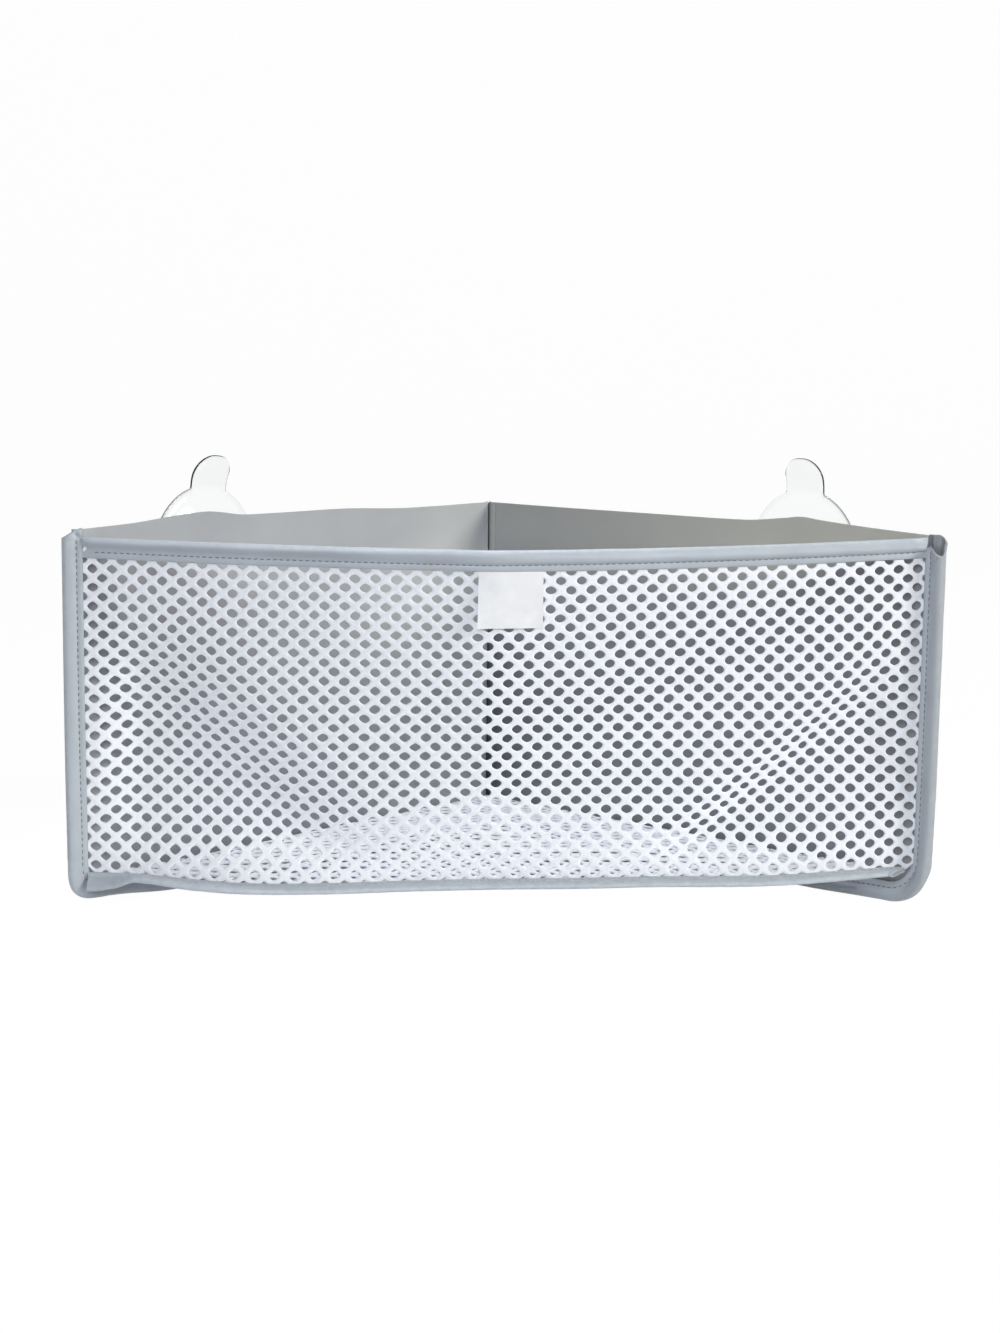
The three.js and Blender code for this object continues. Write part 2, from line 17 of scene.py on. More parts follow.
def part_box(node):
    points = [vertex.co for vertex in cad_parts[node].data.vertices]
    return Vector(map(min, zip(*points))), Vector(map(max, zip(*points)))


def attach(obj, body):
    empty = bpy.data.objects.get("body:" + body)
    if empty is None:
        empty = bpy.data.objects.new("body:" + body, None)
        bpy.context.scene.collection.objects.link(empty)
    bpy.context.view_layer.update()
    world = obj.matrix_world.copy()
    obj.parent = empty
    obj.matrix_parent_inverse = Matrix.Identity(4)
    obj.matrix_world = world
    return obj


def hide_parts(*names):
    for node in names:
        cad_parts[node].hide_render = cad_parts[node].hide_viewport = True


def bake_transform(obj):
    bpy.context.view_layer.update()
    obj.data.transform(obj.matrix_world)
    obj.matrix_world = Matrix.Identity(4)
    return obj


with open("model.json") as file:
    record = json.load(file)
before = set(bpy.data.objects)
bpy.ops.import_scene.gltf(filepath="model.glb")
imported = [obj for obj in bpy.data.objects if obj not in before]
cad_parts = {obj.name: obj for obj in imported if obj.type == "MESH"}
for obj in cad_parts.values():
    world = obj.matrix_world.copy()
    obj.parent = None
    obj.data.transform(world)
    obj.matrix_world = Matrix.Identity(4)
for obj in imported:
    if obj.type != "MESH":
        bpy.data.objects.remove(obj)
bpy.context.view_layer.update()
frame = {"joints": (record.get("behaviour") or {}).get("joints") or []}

bl_info = {
    "name": "Corner Bath Toy Organizer",
    "version": (1, 0, 0),
    "blender": (4, 5, 0),
    "location": "View3D > Sidebar > Organizer",
    "description": "Builds the dressed organizer around its packed frame",
    "category": "Object",
}

HALF = math.sqrt(0.5)  # the walls stand at 45 degrees to the front
JOINTS = {joint["name"]: joint for joint in frame["joints"]}
HANDS = (("left", -1), ("right", 1))

TOP_DROP = 0.0011  # from the walls' top at the front corners down to the front's top edge
SEAM_RISE = 0.0008  # from the middle of the floor sheet up to the front's bottom seam
SEAM_INSET = 0.0012  # from the middle of the wall sheets inward to the front's side seams
SIDE_HEM = 0.0018  # width of the front net that a side seam takes up
TAPE_END = 0.0012  # from the front corners to the ends of the front's tapes
HOLE_ROOM = 0.0003  # between a cup's neck and the wall's hole
HOLE_SHARE = 0.775  # of its width times its height that a hole in the net takes up
PAINTED_SHADE_TONE = 0.36  # share of the vinyl's tone that is left where shade is painted in full
LAMP_AIM = (0.0, 0.0, 0.08)  # where the two soft lamps point


# Settings

def length(name, description, default):
    return FloatProperty(name=name, description=description, default=default, unit="LENGTH", precision=4)


def angle(name, description, degrees):
    return FloatProperty(name=name, description=description, default=math.radians(degrees), subtype="ANGLE")


def power(name, description, default):
    return FloatProperty(name=name, description=description, default=default, unit="POWER")


def share(name, description, default):
    return FloatProperty(name=name, description=description, default=default, min=0.0, max=1.0, subtype="FACTOR")


def colour(name, description, default):
    return FloatVectorProperty(
        name=name, description=description, default=default, size=3, min=0.0, max=1.0, subtype="COLOR"
    )


class BagSizes(PropertyGroup):
    """Sizes of the bag's sheets"""
    front_span: length("Front span", "Between the front corners, along the middle of the wall sheets", 0.372)
    front_line: length("Front line", "Place of the line through the front corners, front to back", -0.079476)
    wall_top: length("Wall top", "Height of the walls at the front corners", 0.1655)
    vinyl: length("Vinyl", "Thickness of the wall sheets", 0.001)
    taper: length("Taper", "How far the right front corner draws in at the bottom", 0.0013)
    left_draw: length("Left draw", "How far the left front corner draws in over its whole height", 0.0037)
    wall_sag: length("Wall sag", "How far the walls fall inward away from the cups", 0.0026)
    floor_height: length("Floor height", "Middle of the floor sheet at its edges", 0.01475)
    floor_rise: length("Floor rise", "How far the slack floor stands up in the middle", 0.003)
    bow_top: length("Bow at the top", "How far the front stands out at the top of its fold", 0.034)
    bow_bottom: length("Bow at the bottom", "How far the front stands out at the bottom", 0.011)
    fold_place: length("Fold place", "The centre fold's distance from the middle, to the left", -0.006)
    top_sag: length("Top sag", "How far the top edge hangs down in the middle", 0.0016)


class NetSizes(PropertyGroup):
    """Sizes of the knitted net"""
    pitch: length("Pitch", "Distance between holes in a row", 0.0088)
    row: length("Row", "Distance between rows", 0.0041)
    hole_width: length("Hole width", "Width of a hole", 0.0047)
    hole_height: length("Hole height", "Height of a hole", 0.0039)
    thickness: length("Thickness", "Thickness of the net between its holes", 0.001)
    edge: length("Edge", "Thickness of the net at the edge of a hole", 0.0006)


class TapeSizes(PropertyGroup):
    """Sizes of the folded tape and its stitching"""
    width: length("Width", "Width of the folded tape's face", 0.009)
    sheet: length("Tape sheet", "Thickness of the tape itself", 0.0007)
    left_corner: length("Left corner", "Radius of the left side tape's inner edge under the front corner", 0.007)
    right_corner: length("Right corner", "Radius of the right side tape's inner edge there", 0.0135)
    left_lift: length("Left lift", "How far the left side tape's bottom edge rises at the front corner", 0.0035)
    right_lift: length("Right lift", "How far the right side tape's bottom edge rises there", 0.0009)
    lift_run: length("Lift run", "Distance from the front corner to where that rise begins", 0.048)
    stitch_line: length("Stitch line", "Distance of the stitching from the tape's open edge", 0.0027)
    stitch_pitch: length("Stitch pitch", "Distance from stitch to stitch", 0.0028)
    thread: length("Thread", "Radius of the thread", 0.00027)


class LabelSizes(PropertyGroup):
    """Sizes of the bare label"""
    width: length("Width", "Width of the label", 0.0274)
    height: length("Height", "Height of the label below the tape", 0.0245)
    offset: length("Offset", "Place of the label's middle, from the middle of the front", 0.0005)
    curl: length("Curl", "How far the lower edge stands off the net", 0.0016)


class CupSizes(PropertyGroup):
    """Sizes of the suction cups, along their axes from the middle of the wall sheet"""
    radius: length("Radius", "Radius of the rim", 0.03)
    standoff: length("Standoff", "Distance of the rim's plane from the wall", 0.014)
    hollow: length("Hollow", "Depth of the hollow", 0.0052)
    rim: length("Rim", "Thickness of the rim", 0.0013)
    hub: length("Hub", "Radius of the hub", 0.007)
    neck: length("Neck", "Radius of the neck in the wall's hole", 0.0024)
    head: length("Head", "Radius of the head inside the bag", 0.004)
    tab_width: length("Tab width", "Width of the pull tab", 0.021)
    tab_tip: length("Tab tip", "Distance of the pull tab's tip from the cup's axis", 0.0451)
    tab_corner: length("Tab corner", "Radius of the pull tab's outer corners", 0.0095)
    tab_swing: angle("Tab swing", "Turn of a pull tab toward the front", 6)
    left_lean: angle("Left lean", "Bend of the left pull tab toward the bag", 24)
    right_lean: angle("Right lean", "Bend of the right pull tab toward the bag", 18)


class Finishes(PropertyGroup):
    """Colours of the materials"""
    # The two walls are one vinyl; the left wall's lighter, bluer tone than the right's is painted light
    left_vinyl: colour("Left vinyl", "Grey vinyl of the left wall", (0.35, 0.357, 0.395))
    # Tone of the painted light on the left wall's inner side
    left_painted_light: colour("Left bleached", "The left wall's vinyl where it is bleached", (0.575, 0.595, 0.585))
    right_vinyl: colour("Right vinyl", "Grey vinyl of the right wall", (0.32, 0.325, 0.34))
    # Tone of the painted light on the right wall's inner side
    right_painted_light: colour("Right bleached", "The right wall's vinyl where it is bleached", (0.62, 0.61, 0.53))
    tape: colour("Tape", "Bluish grey vinyl of the tape", (0.44, 0.478, 0.52))
    # Pale tone along the tape's fold, for rubbed wear and a painted highlight
    tape_fold_light_and_wear: colour("Tape fold", "Tape where it is rubbed pale along its fold", (0.54, 0.585, 0.635))
    net: colour("Net", "White polyester of the net", (0.91, 0.925, 0.975))
    label: colour("Label", "White satin of the label", (0.88, 0.885, 0.9))
    thread: colour("Thread", "Grey sewing thread", (0.17, 0.19, 0.22))
    clear: colour("Clear plastic", "Tint of the clear soft plastic", (0.965, 0.985, 0.975))
    # Painted shade along the cups' clear edges
    clear_edge_shade: colour("Clear edge", "Deeper tone along the edges of the clear plastic", (0.2, 0.23, 0.24))
    floor: colour("Floor", "Pale floor and backdrop", (0.82, 0.82, 0.82))


class StageSettings(PropertyGroup):
    """Camera, lamps and floor"""
    focal: FloatProperty(name="Focal length", description="In pixels of the picture's height", default=2700.0)
    picture_height: IntProperty(name="Picture height", description="In pixels", default=1333)
    camera: FloatVectorProperty(
        name="Camera", description="Place of the camera", default=(-0.0482, -1.2496, 0.279), subtype="XYZ"
    )
    yaw: angle("Yaw", "Turn of the camera to the left", -2.29)
    pitch: angle("Pitch", "How far the camera looks down", 8.29)
    roll: angle("Roll", "Turn of the picture", 0.48)
    key: power("Key lamp", "Power of the soft lamp at the right front", 34.0)
    fill: power("Fill lamp", "Power of the soft lamp over the camera", 27.0)
    top: power("Top lamp", "Power of the narrow lamp over the open top", 150.0)
    sky: FloatProperty(name="Sky", description="Strength of the even light from all round", default=0.09)
    white: share("White", "Share of plain white in the floor where the camera sees it", 0.9)


def settings(name):
    return getattr(bpy.context.scene, "organizer_" + name)


# Small mathematics

def smooth(value, low, high):
    t = np.clip((np.asarray(value, float) - low) / (high - low), 0.0, 1.0)
    return t * t * (3.0 - 2.0 * t)


def eased(value, knots):
    """A smooth curve through knots, a list of pairs in rising order, that never swings past them."""
    xs, ys = (np.array(column, float) for column in zip(*knots))
    rises = np.diff(ys) / np.diff(xs)
    before, after = rises[:-1], rises[1:]
    same_way = before * after > 0
    between = np.where(same_way, 2 * before * after / np.where(same_way, before + after, 1.0), 0.0)
    slopes = np.concatenate([rises[:1], between, rises[-1:]])
    value = np.clip(np.asarray(value, float), xs[0], xs[-1])
    k = np.clip(np.searchsorted(xs, value, side="right") - 1, 0, len(xs) - 2)
    step = xs[k + 1] - xs[k]
    t = (value - xs[k]) / step
    return (
        ys[k] * (1 + 2 * t) * (1 - t) ** 2
        + ys[k + 1] * t * t * (3 - 2 * t)
        + step * slopes[k] * t * (1 - t) ** 2
        + step * slopes[k + 1] * t * t * (t - 1)
    )


def unit(vectors):
    return vectors / np.linalg.norm(vectors, axis=-1, keepdims=True)


def face_direction(place, a, b, step=0.0004):
    """The direction square to a surface that place(a, b) describes."""
    along = place(a + step, b) - place(a - step, b)
    across = place(a, b + step) - place(a, b - step)
    return unit(np.cross(along, across))


def ripple(seed, count, shortest, longest):
    """A repeatable gentle wave of one variable, from -1 to 1."""
    draw = np.random.default_rng(seed)
    lengths = draw.uniform(shortest, longest, count)
    phases = draw.uniform(0, 2 * math.pi, count)

    def wave(value):
        value = np.asarray(value, float)
        return sum(np.sin(2 * math.pi * value / size + phase) for size, phase in zip(lengths, phases)) / count

    return wave


# Meshes

def new_piece(name, points, faces, material, attributes=None):
    """A smooth shaded mesh object in the scene. Faces may be rows of one array or lists of indices."""
    mesh = bpy.data.meshes.new(name)
    rows = [row for block in faces for row in np.asarray(block).tolist()]
    mesh.from_pydata(np.asarray(points, float).tolist(), [], rows)
    if mesh.validate(verbose=False):
        raise RuntimeError(f"{name} has a broken face")
    mesh.shade_smooth()
    for key, values in (attributes or {}).items():
        layer = mesh.attributes.new(key, "FLOAT", "POINT")
        layer.data.foreach_set("value", np.asarray(values, np.float32))
    mesh.materials.append(material)
    piece = bpy.data.objects.new(name, mesh)
    bpy.context.scene.collection.objects.link(piece)
    return piece


def sharpen(piece, degrees):
    """Keeps the edges sharp where faces meet at more than an angle."""
    piece.data.set_sharp_from_angle(angle=math.radians(degrees))


def boundary(quads):
    """The edges, in order round their face, that only one face has."""
    edges = np.concatenate([quads[:, [k, (k + 1) % quads.shape[1]]] for k in range(quads.shape[1])])
    _, first, counts = np.unique(np.sort(edges, axis=1), axis=0, return_index=True, return_counts=True)
    return edges[first[counts == 1]]


def two_sided(quads, count):
    """Faces of a thick sheet: the quads on the front layer, their copies on the back and the rims between."""
    rim = boundary(quads)
    walls = np.stack([rim[:, 1], rim[:, 0], rim[:, 0] + count, rim[:, 1] + count], axis=1)
    return [quads, quads[:, ::-1] + count, walls]


def grid_quads(rows, columns):
    index = np.arange(rows * columns).reshape(rows, columns)
    return np.stack([index[:-1, :-1], index[:-1, 1:], index[1:, 1:], index[1:, :-1]], axis=-1).reshape(-1, 4)


# Materials

def finish(name):
    """A node material with its shader, a function that adds a node to it, its links and the place on the piece."""
    material = bpy.data.materials.new(name)
    material.use_nodes = True
    nodes, links = material.node_tree.nodes, material.node_tree.links
    nodes.clear()
    output = nodes.new("ShaderNodeOutputMaterial")
    shader = nodes.new("ShaderNodeBsdfPrincipled")
    links.new(shader.outputs["BSDF"], output.inputs["Surface"])

    def add(kind, values=None, **inputs):
        node = nodes.new(kind)
        for key, value in (values or {}).items():
            setattr(node, key, value)
        for key, value in inputs.items():
            socket = node.inputs[int(key[1:])] if key[0] == "_" else node.inputs[key.replace("_", " ").title()]
            if isinstance(value, bpy.types.NodeSocket):
                links.new(value, socket)
            else:
                socket.default_value = value
        return node

    return material, shader, add, links, add("ShaderNodeTexCoord").outputs["Object"]


def set_shader(shader, **values):
    for key, value in values.items():
        shader.inputs[key.replace("_", " ")].default_value = value


def speckled(add, where, scale, detail=3.0, roughness=0.55):
    return add("ShaderNodeTexNoise", _0=where, Scale=scale, Detail=detail, Roughness=roughness).outputs["Fac"]


def ranged(add, value, low, high):
    """A noise value spread between two ends."""
    return add("ShaderNodeMapRange", Value=value, _1=0.3, _2=0.7, _3=low, _4=high).outputs["Result"]


def mixed(add, factor, first, second):
    """A colour between two, by a factor."""
    return add("ShaderNodeMix", {"data_type": "RGBA"}, _0=factor, _6=first, _7=second).outputs[2]


def shaded(tint, factor):
    return tuple(min(1.0, channel * factor) for channel in tint) + (1.0,)


def flecked(add, noise, tint, dark, light):
    """A tint that a noise varies between a darker and a lighter tone."""
    return mixed(add, ranged(add, noise, 0.0, 1.0), shaded(tint, dark), shaded(tint, light))


def marked(add, mark):
    """A value that the mesh holds at each point."""
    return add("ShaderNodeAttribute", {"attribute_name": mark}).outputs["Fac"]


def bumped(add, links, shader, layers):
    """Joins bump layers, each a height, its strength and its depth, into the shader's normal."""
    normal = None
    for height, strength, depth in layers:
        node = add("ShaderNodeBump", Height=height, Strength=strength, Distance=depth)
        if normal is not None:
            links.new(normal, node.inputs["Normal"])
        normal = node.outputs["Normal"]
    links.new(normal, shader.inputs["Normal"])


def streaks(add, along, across):
    """Noise drawn out along or across a tape, by how often it changes each way."""
    scaled = []
    for mark, often in (("run", along), ("side", across)):
        value = marked(add, mark)
        scaled.append(add("ShaderNodeMath", {"operation": "MULTIPLY"}, _0=value, _1=often).outputs["Value"])
    where = add("ShaderNodeCombineXYZ", X=scaled[0], Y=scaled[1]).outputs["Vector"]
    return speckled(add, where, 1.0)


def vinyl_finish(name, tint, fold_light_and_wear_tint=None, painted_light_tint=None):
    """Satin vinyl with a fine pressed grain, darker where shade is painted on it.

    Tape pales along its fold, where it is rubbed and where a highlight is painted, and the walls pale where light is
    painted on them.
    """
    material, shader, add, links, where = finish(name)
    tone = flecked(add, speckled(add, where, 45.0), tint, 0.95, 1.05)
    # Pale fold: rubbed wear and a painted highlight
    if fold_light_and_wear_tint is not None:
        rubbed = marked(add, "fold")
        patch = ranged(add, speckled(add, where, 320.0), 0.2, 1.0)
        worn_and_lit = add("ShaderNodeMath", {"operation": "MULTIPLY"}, _0=rubbed, _1=patch).outputs["Value"]
        tone = mixed(add, worn_and_lit, tone, shaded(fold_light_and_wear_tint, 1.0))
    # Painted light on the walls' inner sides
    if painted_light_tint is not None:
        tone = mixed(add, marked(add, "bleached"), tone, shaded(painted_light_tint, 1.0))
    # Painted shade: on the walls by the back seam, in the left wall's upper front and low on the right; on the tape
    # inside its fold and on the right tape's outer side
    tone = mixed(add, marked(add, "dull"), tone, shaded(tint, PAINTED_SHADE_TONE))
    links.new(tone, shader.inputs["Base Color"])
    links.new(ranged(add, speckled(add, where, 140.0), 0.36, 0.5), shader.inputs["Roughness"])
    grain = add("ShaderNodeTexVoronoi", {"feature": "SMOOTH_F1"}, _0=where, Scale=1900.0).outputs["Distance"]
    layers = [(grain, 0.25, 0.00006), (speckled(add, where, 75.0, 2.0), 0.2, 0.0006)]
    if fold_light_and_wear_tint is not None:
        layers.append((streaks(add, 45.0, 900.0), 0.35, 0.00025))
        layers.append((streaks(add, 420.0, 90.0), 0.3, 0.0002))
    else:
        weave = add("ShaderNodeMapping", _0=where, _3=(60.0, 60.0, 1400.0)).outputs["Vector"]
        layers.append((speckled(add, weave, 1.0), 0.2, 0.00012))
    bumped(add, links, shader, layers)
    set_shader(shader, Specular_IOR_Level=0.45, Sheen_Weight=0.08, Sheen_Roughness=0.4)
    return material


def net_finish(name, tint):
    """White knit: soft fibres in small loops."""
    material, shader, add, links, where = finish(name)
    tone = flecked(add, speckled(add, where, 900.0, 4.0, 0.7), tint, 0.93, 1.04)
    links.new(tone, shader.inputs["Base Color"])
    loops = add("ShaderNodeTexVoronoi", {"feature": "F1"}, _0=where, Scale=1500.0).outputs["Distance"]
    fibre = speckled(add, where, 4200.0, 2.0)
    links.new(ranged(add, fibre, 0.78, 0.95), shader.inputs["Roughness"])
    bumped(add, links, shader, [(loops, 0.45, 0.00018), (fibre, 0.35, 0.00008)])
    set_shader(shader, Specular_IOR_Level=0.25, Sheen_Weight=0.25, Sheen_Roughness=0.6)
    return material


def satin_finish(name, tint):
    """Woven satin ribbon with fine level ribs."""
    material, shader, add, links, where = finish(name)
    tone = flecked(add, speckled(add, where, 160.0), tint, 0.96, 1.03)
    links.new(tone, shader.inputs["Base Color"])
    ribs = add(
        "ShaderNodeTexWave", {"bands_direction": "Z"}, _0=where, Scale=700.0, Distortion=1.2, Detail=2.0
    ).outputs["Fac"]
    links.new(ranged(add, ribs, 0.32, 0.46), shader.inputs["Roughness"])
    bumped(add, links, shader, [(ribs, 0.3, 0.00006), (speckled(add, where, 220.0), 0.2, 0.0003)])
    set_shader(shader, Specular_IOR_Level=0.5, Sheen_Weight=0.3, Sheen_Roughness=0.3, Anisotropic=0.4)
    return material


def thread_finish(name, tint):
    """Twisted polyester thread."""
    material, shader, add, links, where = finish(name)
    tone = flecked(add, speckled(add, where, 1300.0), tint, 0.8, 1.2)
    links.new(tone, shader.inputs["Base Color"])
    twist = add("ShaderNodeTexWave", {"bands_direction": "DIAGONAL"}, _0=where, Scale=1500.0).outputs["Fac"]
    bumped(add, links, shader, [(twist, 0.5, 0.0001)])
    set_shader(shader, Roughness=0.6, Sheen_Weight=0.3)
    return material


def clear_finish(name, tint, edge_shade_tint):
    """Clear soft plastic with the faint unevenness of a moulding, with painted shade deepening the tone along its cut
    edges.
    """
    material, shader, add, links, where = finish(name)
    tone = mixed(add, marked(add, "edge"), shaded(tint, 1.0), shaded(edge_shade_tint, 1.0))
    links.new(tone, shader.inputs["Base Color"])
    links.new(ranged(add, speckled(add, where, 90.0), 0.02, 0.07), shader.inputs["Roughness"])
    bumped(add, links, shader, [(speckled(add, where, 60.0, 1.0), 0.12, 0.0004)])
    set_shader(shader, Transmission_Weight=1.0, IOR=1.4, Specular_IOR_Level=0.5)
    return material


def shared_finish(name):
    """The material of a kind, made when it is first asked for."""
    title = f"dressed_{name}"
    if title not in bpy.data.materials:
        tints = settings("finishes")
        makers = {
            "left_vinyl": lambda: vinyl_finish(title, tints.left_vinyl, painted_light_tint=tints.left_painted_light),
            "right_vinyl": lambda: vinyl_finish(title, tints.right_vinyl, painted_light_tint=tints.right_painted_light),
            "tape": lambda: vinyl_finish(title, tints.tape, tints.tape_fold_light_and_wear),
            "net": lambda: net_finish(title, tints.net),
            "label": lambda: satin_finish(title, tints.label),
            "thread": lambda: thread_finish(title, tints.thread),
            "pale_thread": lambda: thread_finish(title, tints.tape),
            "clear": lambda: clear_finish(title, tints.clear, tints.clear_edge_shade),
        }
        makers[name]()
    return bpy.data.materials[title]


# The bag's surfaces

# Height of the walls' top edges over the front corners, by the distance from the corner
CREST = {
    "left": ((0, 0.0022), (0.015, 0.0026), (0.03, 0.0032), (0.05, 0.0048), (0.071, 0.0058), (0.097, 0.003),
             (0.115, 0.0028), (0.156, 0.0023), (0.203, 0.0001), (0.27, -0.0006)),
    "right": ((0, 0.0015), (0.03, 0.0027), (0.058, 0.0043), (0.068, 0.0051), (0.078, 0.0039), (0.1, 0.0017),
              (0.15, 0.0009), (0.27, -0.0006)),
}
# Degrees that the tape on a wall's front edge turns toward the viewer, by height
FLANGE_TURN = {
    "left": ((0, 9), (0.03, 14), (0.06, 25), (0.09, 33), (0.17, 38)),
    "right": ((0, -23), (0.02, -17), (0.04, -9), (0.09, -3), (0.17, 1)),
}


def wall_length():
    return settings("bag").front_span * HALF


def drawn_in(hand, up):
    """How far a front corner is drawn in along its wall, by height."""
    bag = settings("bag")
    return bag.left_draw if hand < 0 else bag.taper * (1 - up / bag.wall_top)


def wall_place(hand, along, up, out):
    """Points given along a wall from its front corner, up it and outward from its middle."""
    bag = settings("bag")
    along, up, out = np.broadcast_arrays(*(np.asarray(value, float) for value in (along, up, out)))
    drawn = along + drawn_in(hand, up) * (1 - along / wall_length())
    x = hand * (bag.front_span / 2 - drawn * HALF + out * HALF)
    y = bag.front_line + drawn * HALF + out * HALF
    return np.stack([x, y, up], axis=-1)


def cup_place(name):
    """Where a cup's axis passes a wall: along the wall and up it."""
    _, y, z = JOINTS[f"{name}_cup_swivel"]["pos_m"]
    along = (y - settings("bag").front_line) / HALF
    drawn = drawn_in(dict(HANDS)[name], z)
    return (along - drawn) / (1 - drawn / wall_length()), z


def wall_fall(name, along, up):
    """How far a slack wall sheet stands inward of its plane."""
    bag = settings("bag")
    cup_along, cup_up = cup_place(name)
    reach = wall_length()
    held = np.sin(math.pi * np.clip(along / reach, 0, 1)) ** 0.7 * smooth(up, 0.012, 0.09)
    near = np.exp(-((along - cup_along) ** 2 + (up - cup_up) ** 2) / 0.024 ** 2)
    wave = 0.0005 * np.sin(along / 0.021 + up / 0.05) * smooth(up, 0.02, 0.08)
    return (bag.wall_sag * held + wave * held) * (1 - near)


def flange_way(name, hand, up):
    """The level direction in which the tape on a wall's front edge points."""
    turn = np.radians(eased(up, FLANGE_TURN[name]))
    spread = math.radians(45) - turn
    return np.stack([hand * np.cos(spread), -np.sin(spread), np.zeros_like(spread)], axis=-1)


def corner_turn(name):
    """Radius of a side tape's inner edge under the front corner, and how far its bottom edge rises there."""
    tape = settings("tape")
    return (tape.left_corner, tape.left_lift) if name == "left" else (tape.right_corner, tape.right_lift)


def bottom_line(name, along):
    """Height of a side tape's open edge along its wall's bottom."""
    tape = settings("tape")
    return tape.width + corner_turn(name)[1] * (1 - smooth(along, 0, tape.lift_run))


# How far the front's bottom edge swells out, by its place across
SWELL = (
    (-0.186, 0), (-0.165, 0.002), (-0.14, 0.007), (-0.115, 0.0105), (-0.08, 0.0085), (-0.04, 0.003), (0, 0.0005),
    (0.06, 0.001), (0.12, 0.005), (0.15, 0.0035), (0.175, 0.0008), (0.186, 0),
)
# How far the front's bottom seam hangs below the floor's edge, by its place across
DIP = (
    (-0.186, 0), (-0.16, 0.0002), (-0.135, 0.001), (-0.1, 0.0018), (-0.06, 0.0014), (-0.02, 0.001),
    (0.03, 0.0005), (0.08, -0.0003), (0.12, -0.0008), (0.155, -0.0021), (0.175, -0.0026), (0.186, -0.002),
)


def net_height():
    """Height of the front net between its top edge and its bottom seam at the front corners, in the flat."""
    bag = settings("bag")
    return bag.wall_top - TOP_DROP - bag.floor_height - SEAM_RISE


def front_top(x):
    """Height of the front's top edge."""
    bag = settings("bag")
    half = bag.front_span / 2
    place = x / half
    right_rise = 0.0017 * np.clip(place, 0, 1) ** 2
    return bag.wall_top - TOP_DROP - bag.top_sag * np.clip(1 - place ** 2, 0, 1) + right_rise


def front_half():
    """Half the width of the front between its side seams, in the flat."""
    return settings("bag").front_span / 2 - SIDE_HEM


def front_bow(x, level):
    """How far the front stands out, by its place across and its level from 0 to 1."""
    bag = settings("bag")
    half = front_half()

    def from_fold(distance):
        rounding = 0.0022
        return np.sqrt(distance ** 2 + rounding ** 2) - rounding

    offset = x - bag.fold_place
    reach = np.where(offset < 0, half + bag.fold_place, half - bag.fold_place)
    ridge = np.clip(1 - from_fold(offset) / from_fold(reach), 0, None)
    arch = np.clip(1 - (x / half) ** 2, 0, None)
    top = bag.bow_top * (0.76 * ridge + 0.24 * arch)
    bottom = bag.bow_bottom * arch
    swell = eased(x, SWELL)
    low = np.exp(-(np.clip(level, 0, 1) * 0.15 / 0.03) ** 2)
    return bottom + (top - bottom) * level + swell * low


# Degrees by which the bottom tape points below level, by its place across
BOTTOM_TURN = (
    (-0.183, 52), (-0.177, 42), (-0.168, 22), (-0.16, 0), (-0.152, 2), (-0.135, 8), (0.1, 8), (0.15, 5), (0.183, 2)
)


def bottom_way(across):
    """The direction in which the bottom tape points, forward or down."""
    down = np.radians(eased(across, BOTTOM_TURN))
    return np.stack([np.zeros_like(down), -np.cos(down), -np.sin(down)], axis=-1)


# Hand, side end, height there, bottom end, half width, share by which the net is drawn together, depth
CREASES = ((-1, 0.184, 0.119, 0.055, 0.031, 0.11, 0.0105), (1, 0.188, 0.108, 0.059, 0.02, 0.21, 0.006))


def crease_place(hand, side_x, side_up, bottom_x, x, up):
    """Distance from a crease, the place along it from 0 to 1, and the direction across it."""
    start = np.array([hand * side_x, side_up])
    end = np.array([hand * bottom_x, 0.0])
    run = end - start
    reach = np.linalg.norm(run)
    way = run / reach
    square = np.array([-way[1], way[0]]) * (1 if hand < 0 else -1)
    dx, dz = x - start[0], up - start[1]
    return dx * square[0] + dz * square[1], (dx * way[0] + dz * way[1]) / reach, square


def front_place(across, up):
    """Points of the front's middle surface, given in the flat net: across it, and up from its bottom seam."""
    half = front_half()
    across, up = np.broadcast_arrays(np.asarray(across, float), np.asarray(up, float))
    x, rise = np.clip(across, -half, half), np.clip(up, 0, None)
    free = smooth(half - np.abs(x), 0, 0.025) * smooth(rise, 0, 0.02)
    dent = np.zeros_like(x)
    for hand, side_x, side_up, bottom_x, spread, tightness, depth in CREASES:
        away, run, square = crease_place(hand, side_x, side_up, bottom_x, x, rise)
        window = free * smooth(run, 0.02, 0.35) * (1 - smooth(run, 0.85, 1.1))
        draw = tightness * away * np.exp(-(away / spread) ** 2) * window
        x = x - draw * square[0]
        rise = rise - draw * square[1]
        below = away + 0.45 * spread
        dent = dent + depth * np.exp(-(below / spread / np.where(below > 0, 0.9, 1.9)) ** 2) * window
    seam = settings("bag").floor_height + SEAM_RISE - eased(x, DIP)
    height = front_top(x) - seam
    level = rise / net_height()
    z = seam + level * height
    left, right = (wall_place(hand, 0.0, z, -SEAM_INSET) for _, hand in HANDS)
    wide = ((x / half + 1) / 2)[..., None]
    points = left * (1 - wide) + right * wide
    points[..., 1] += dent - front_bow(x, level)
    beyond = np.abs(across) - half
    for name, hand in HANDS:
        outside = (beyond > 0) & (np.sign(across) == hand)
        points = points + np.where(outside, beyond, 0.0)[..., None] * flange_way(name, hand, z)
    deepest = 0.0016  # how far the net reaches into the bottom tape
    hem = deepest * (1 - np.exp(np.clip(up, None, 0) / deepest))
    return points + hem[..., None] * bottom_way(across)


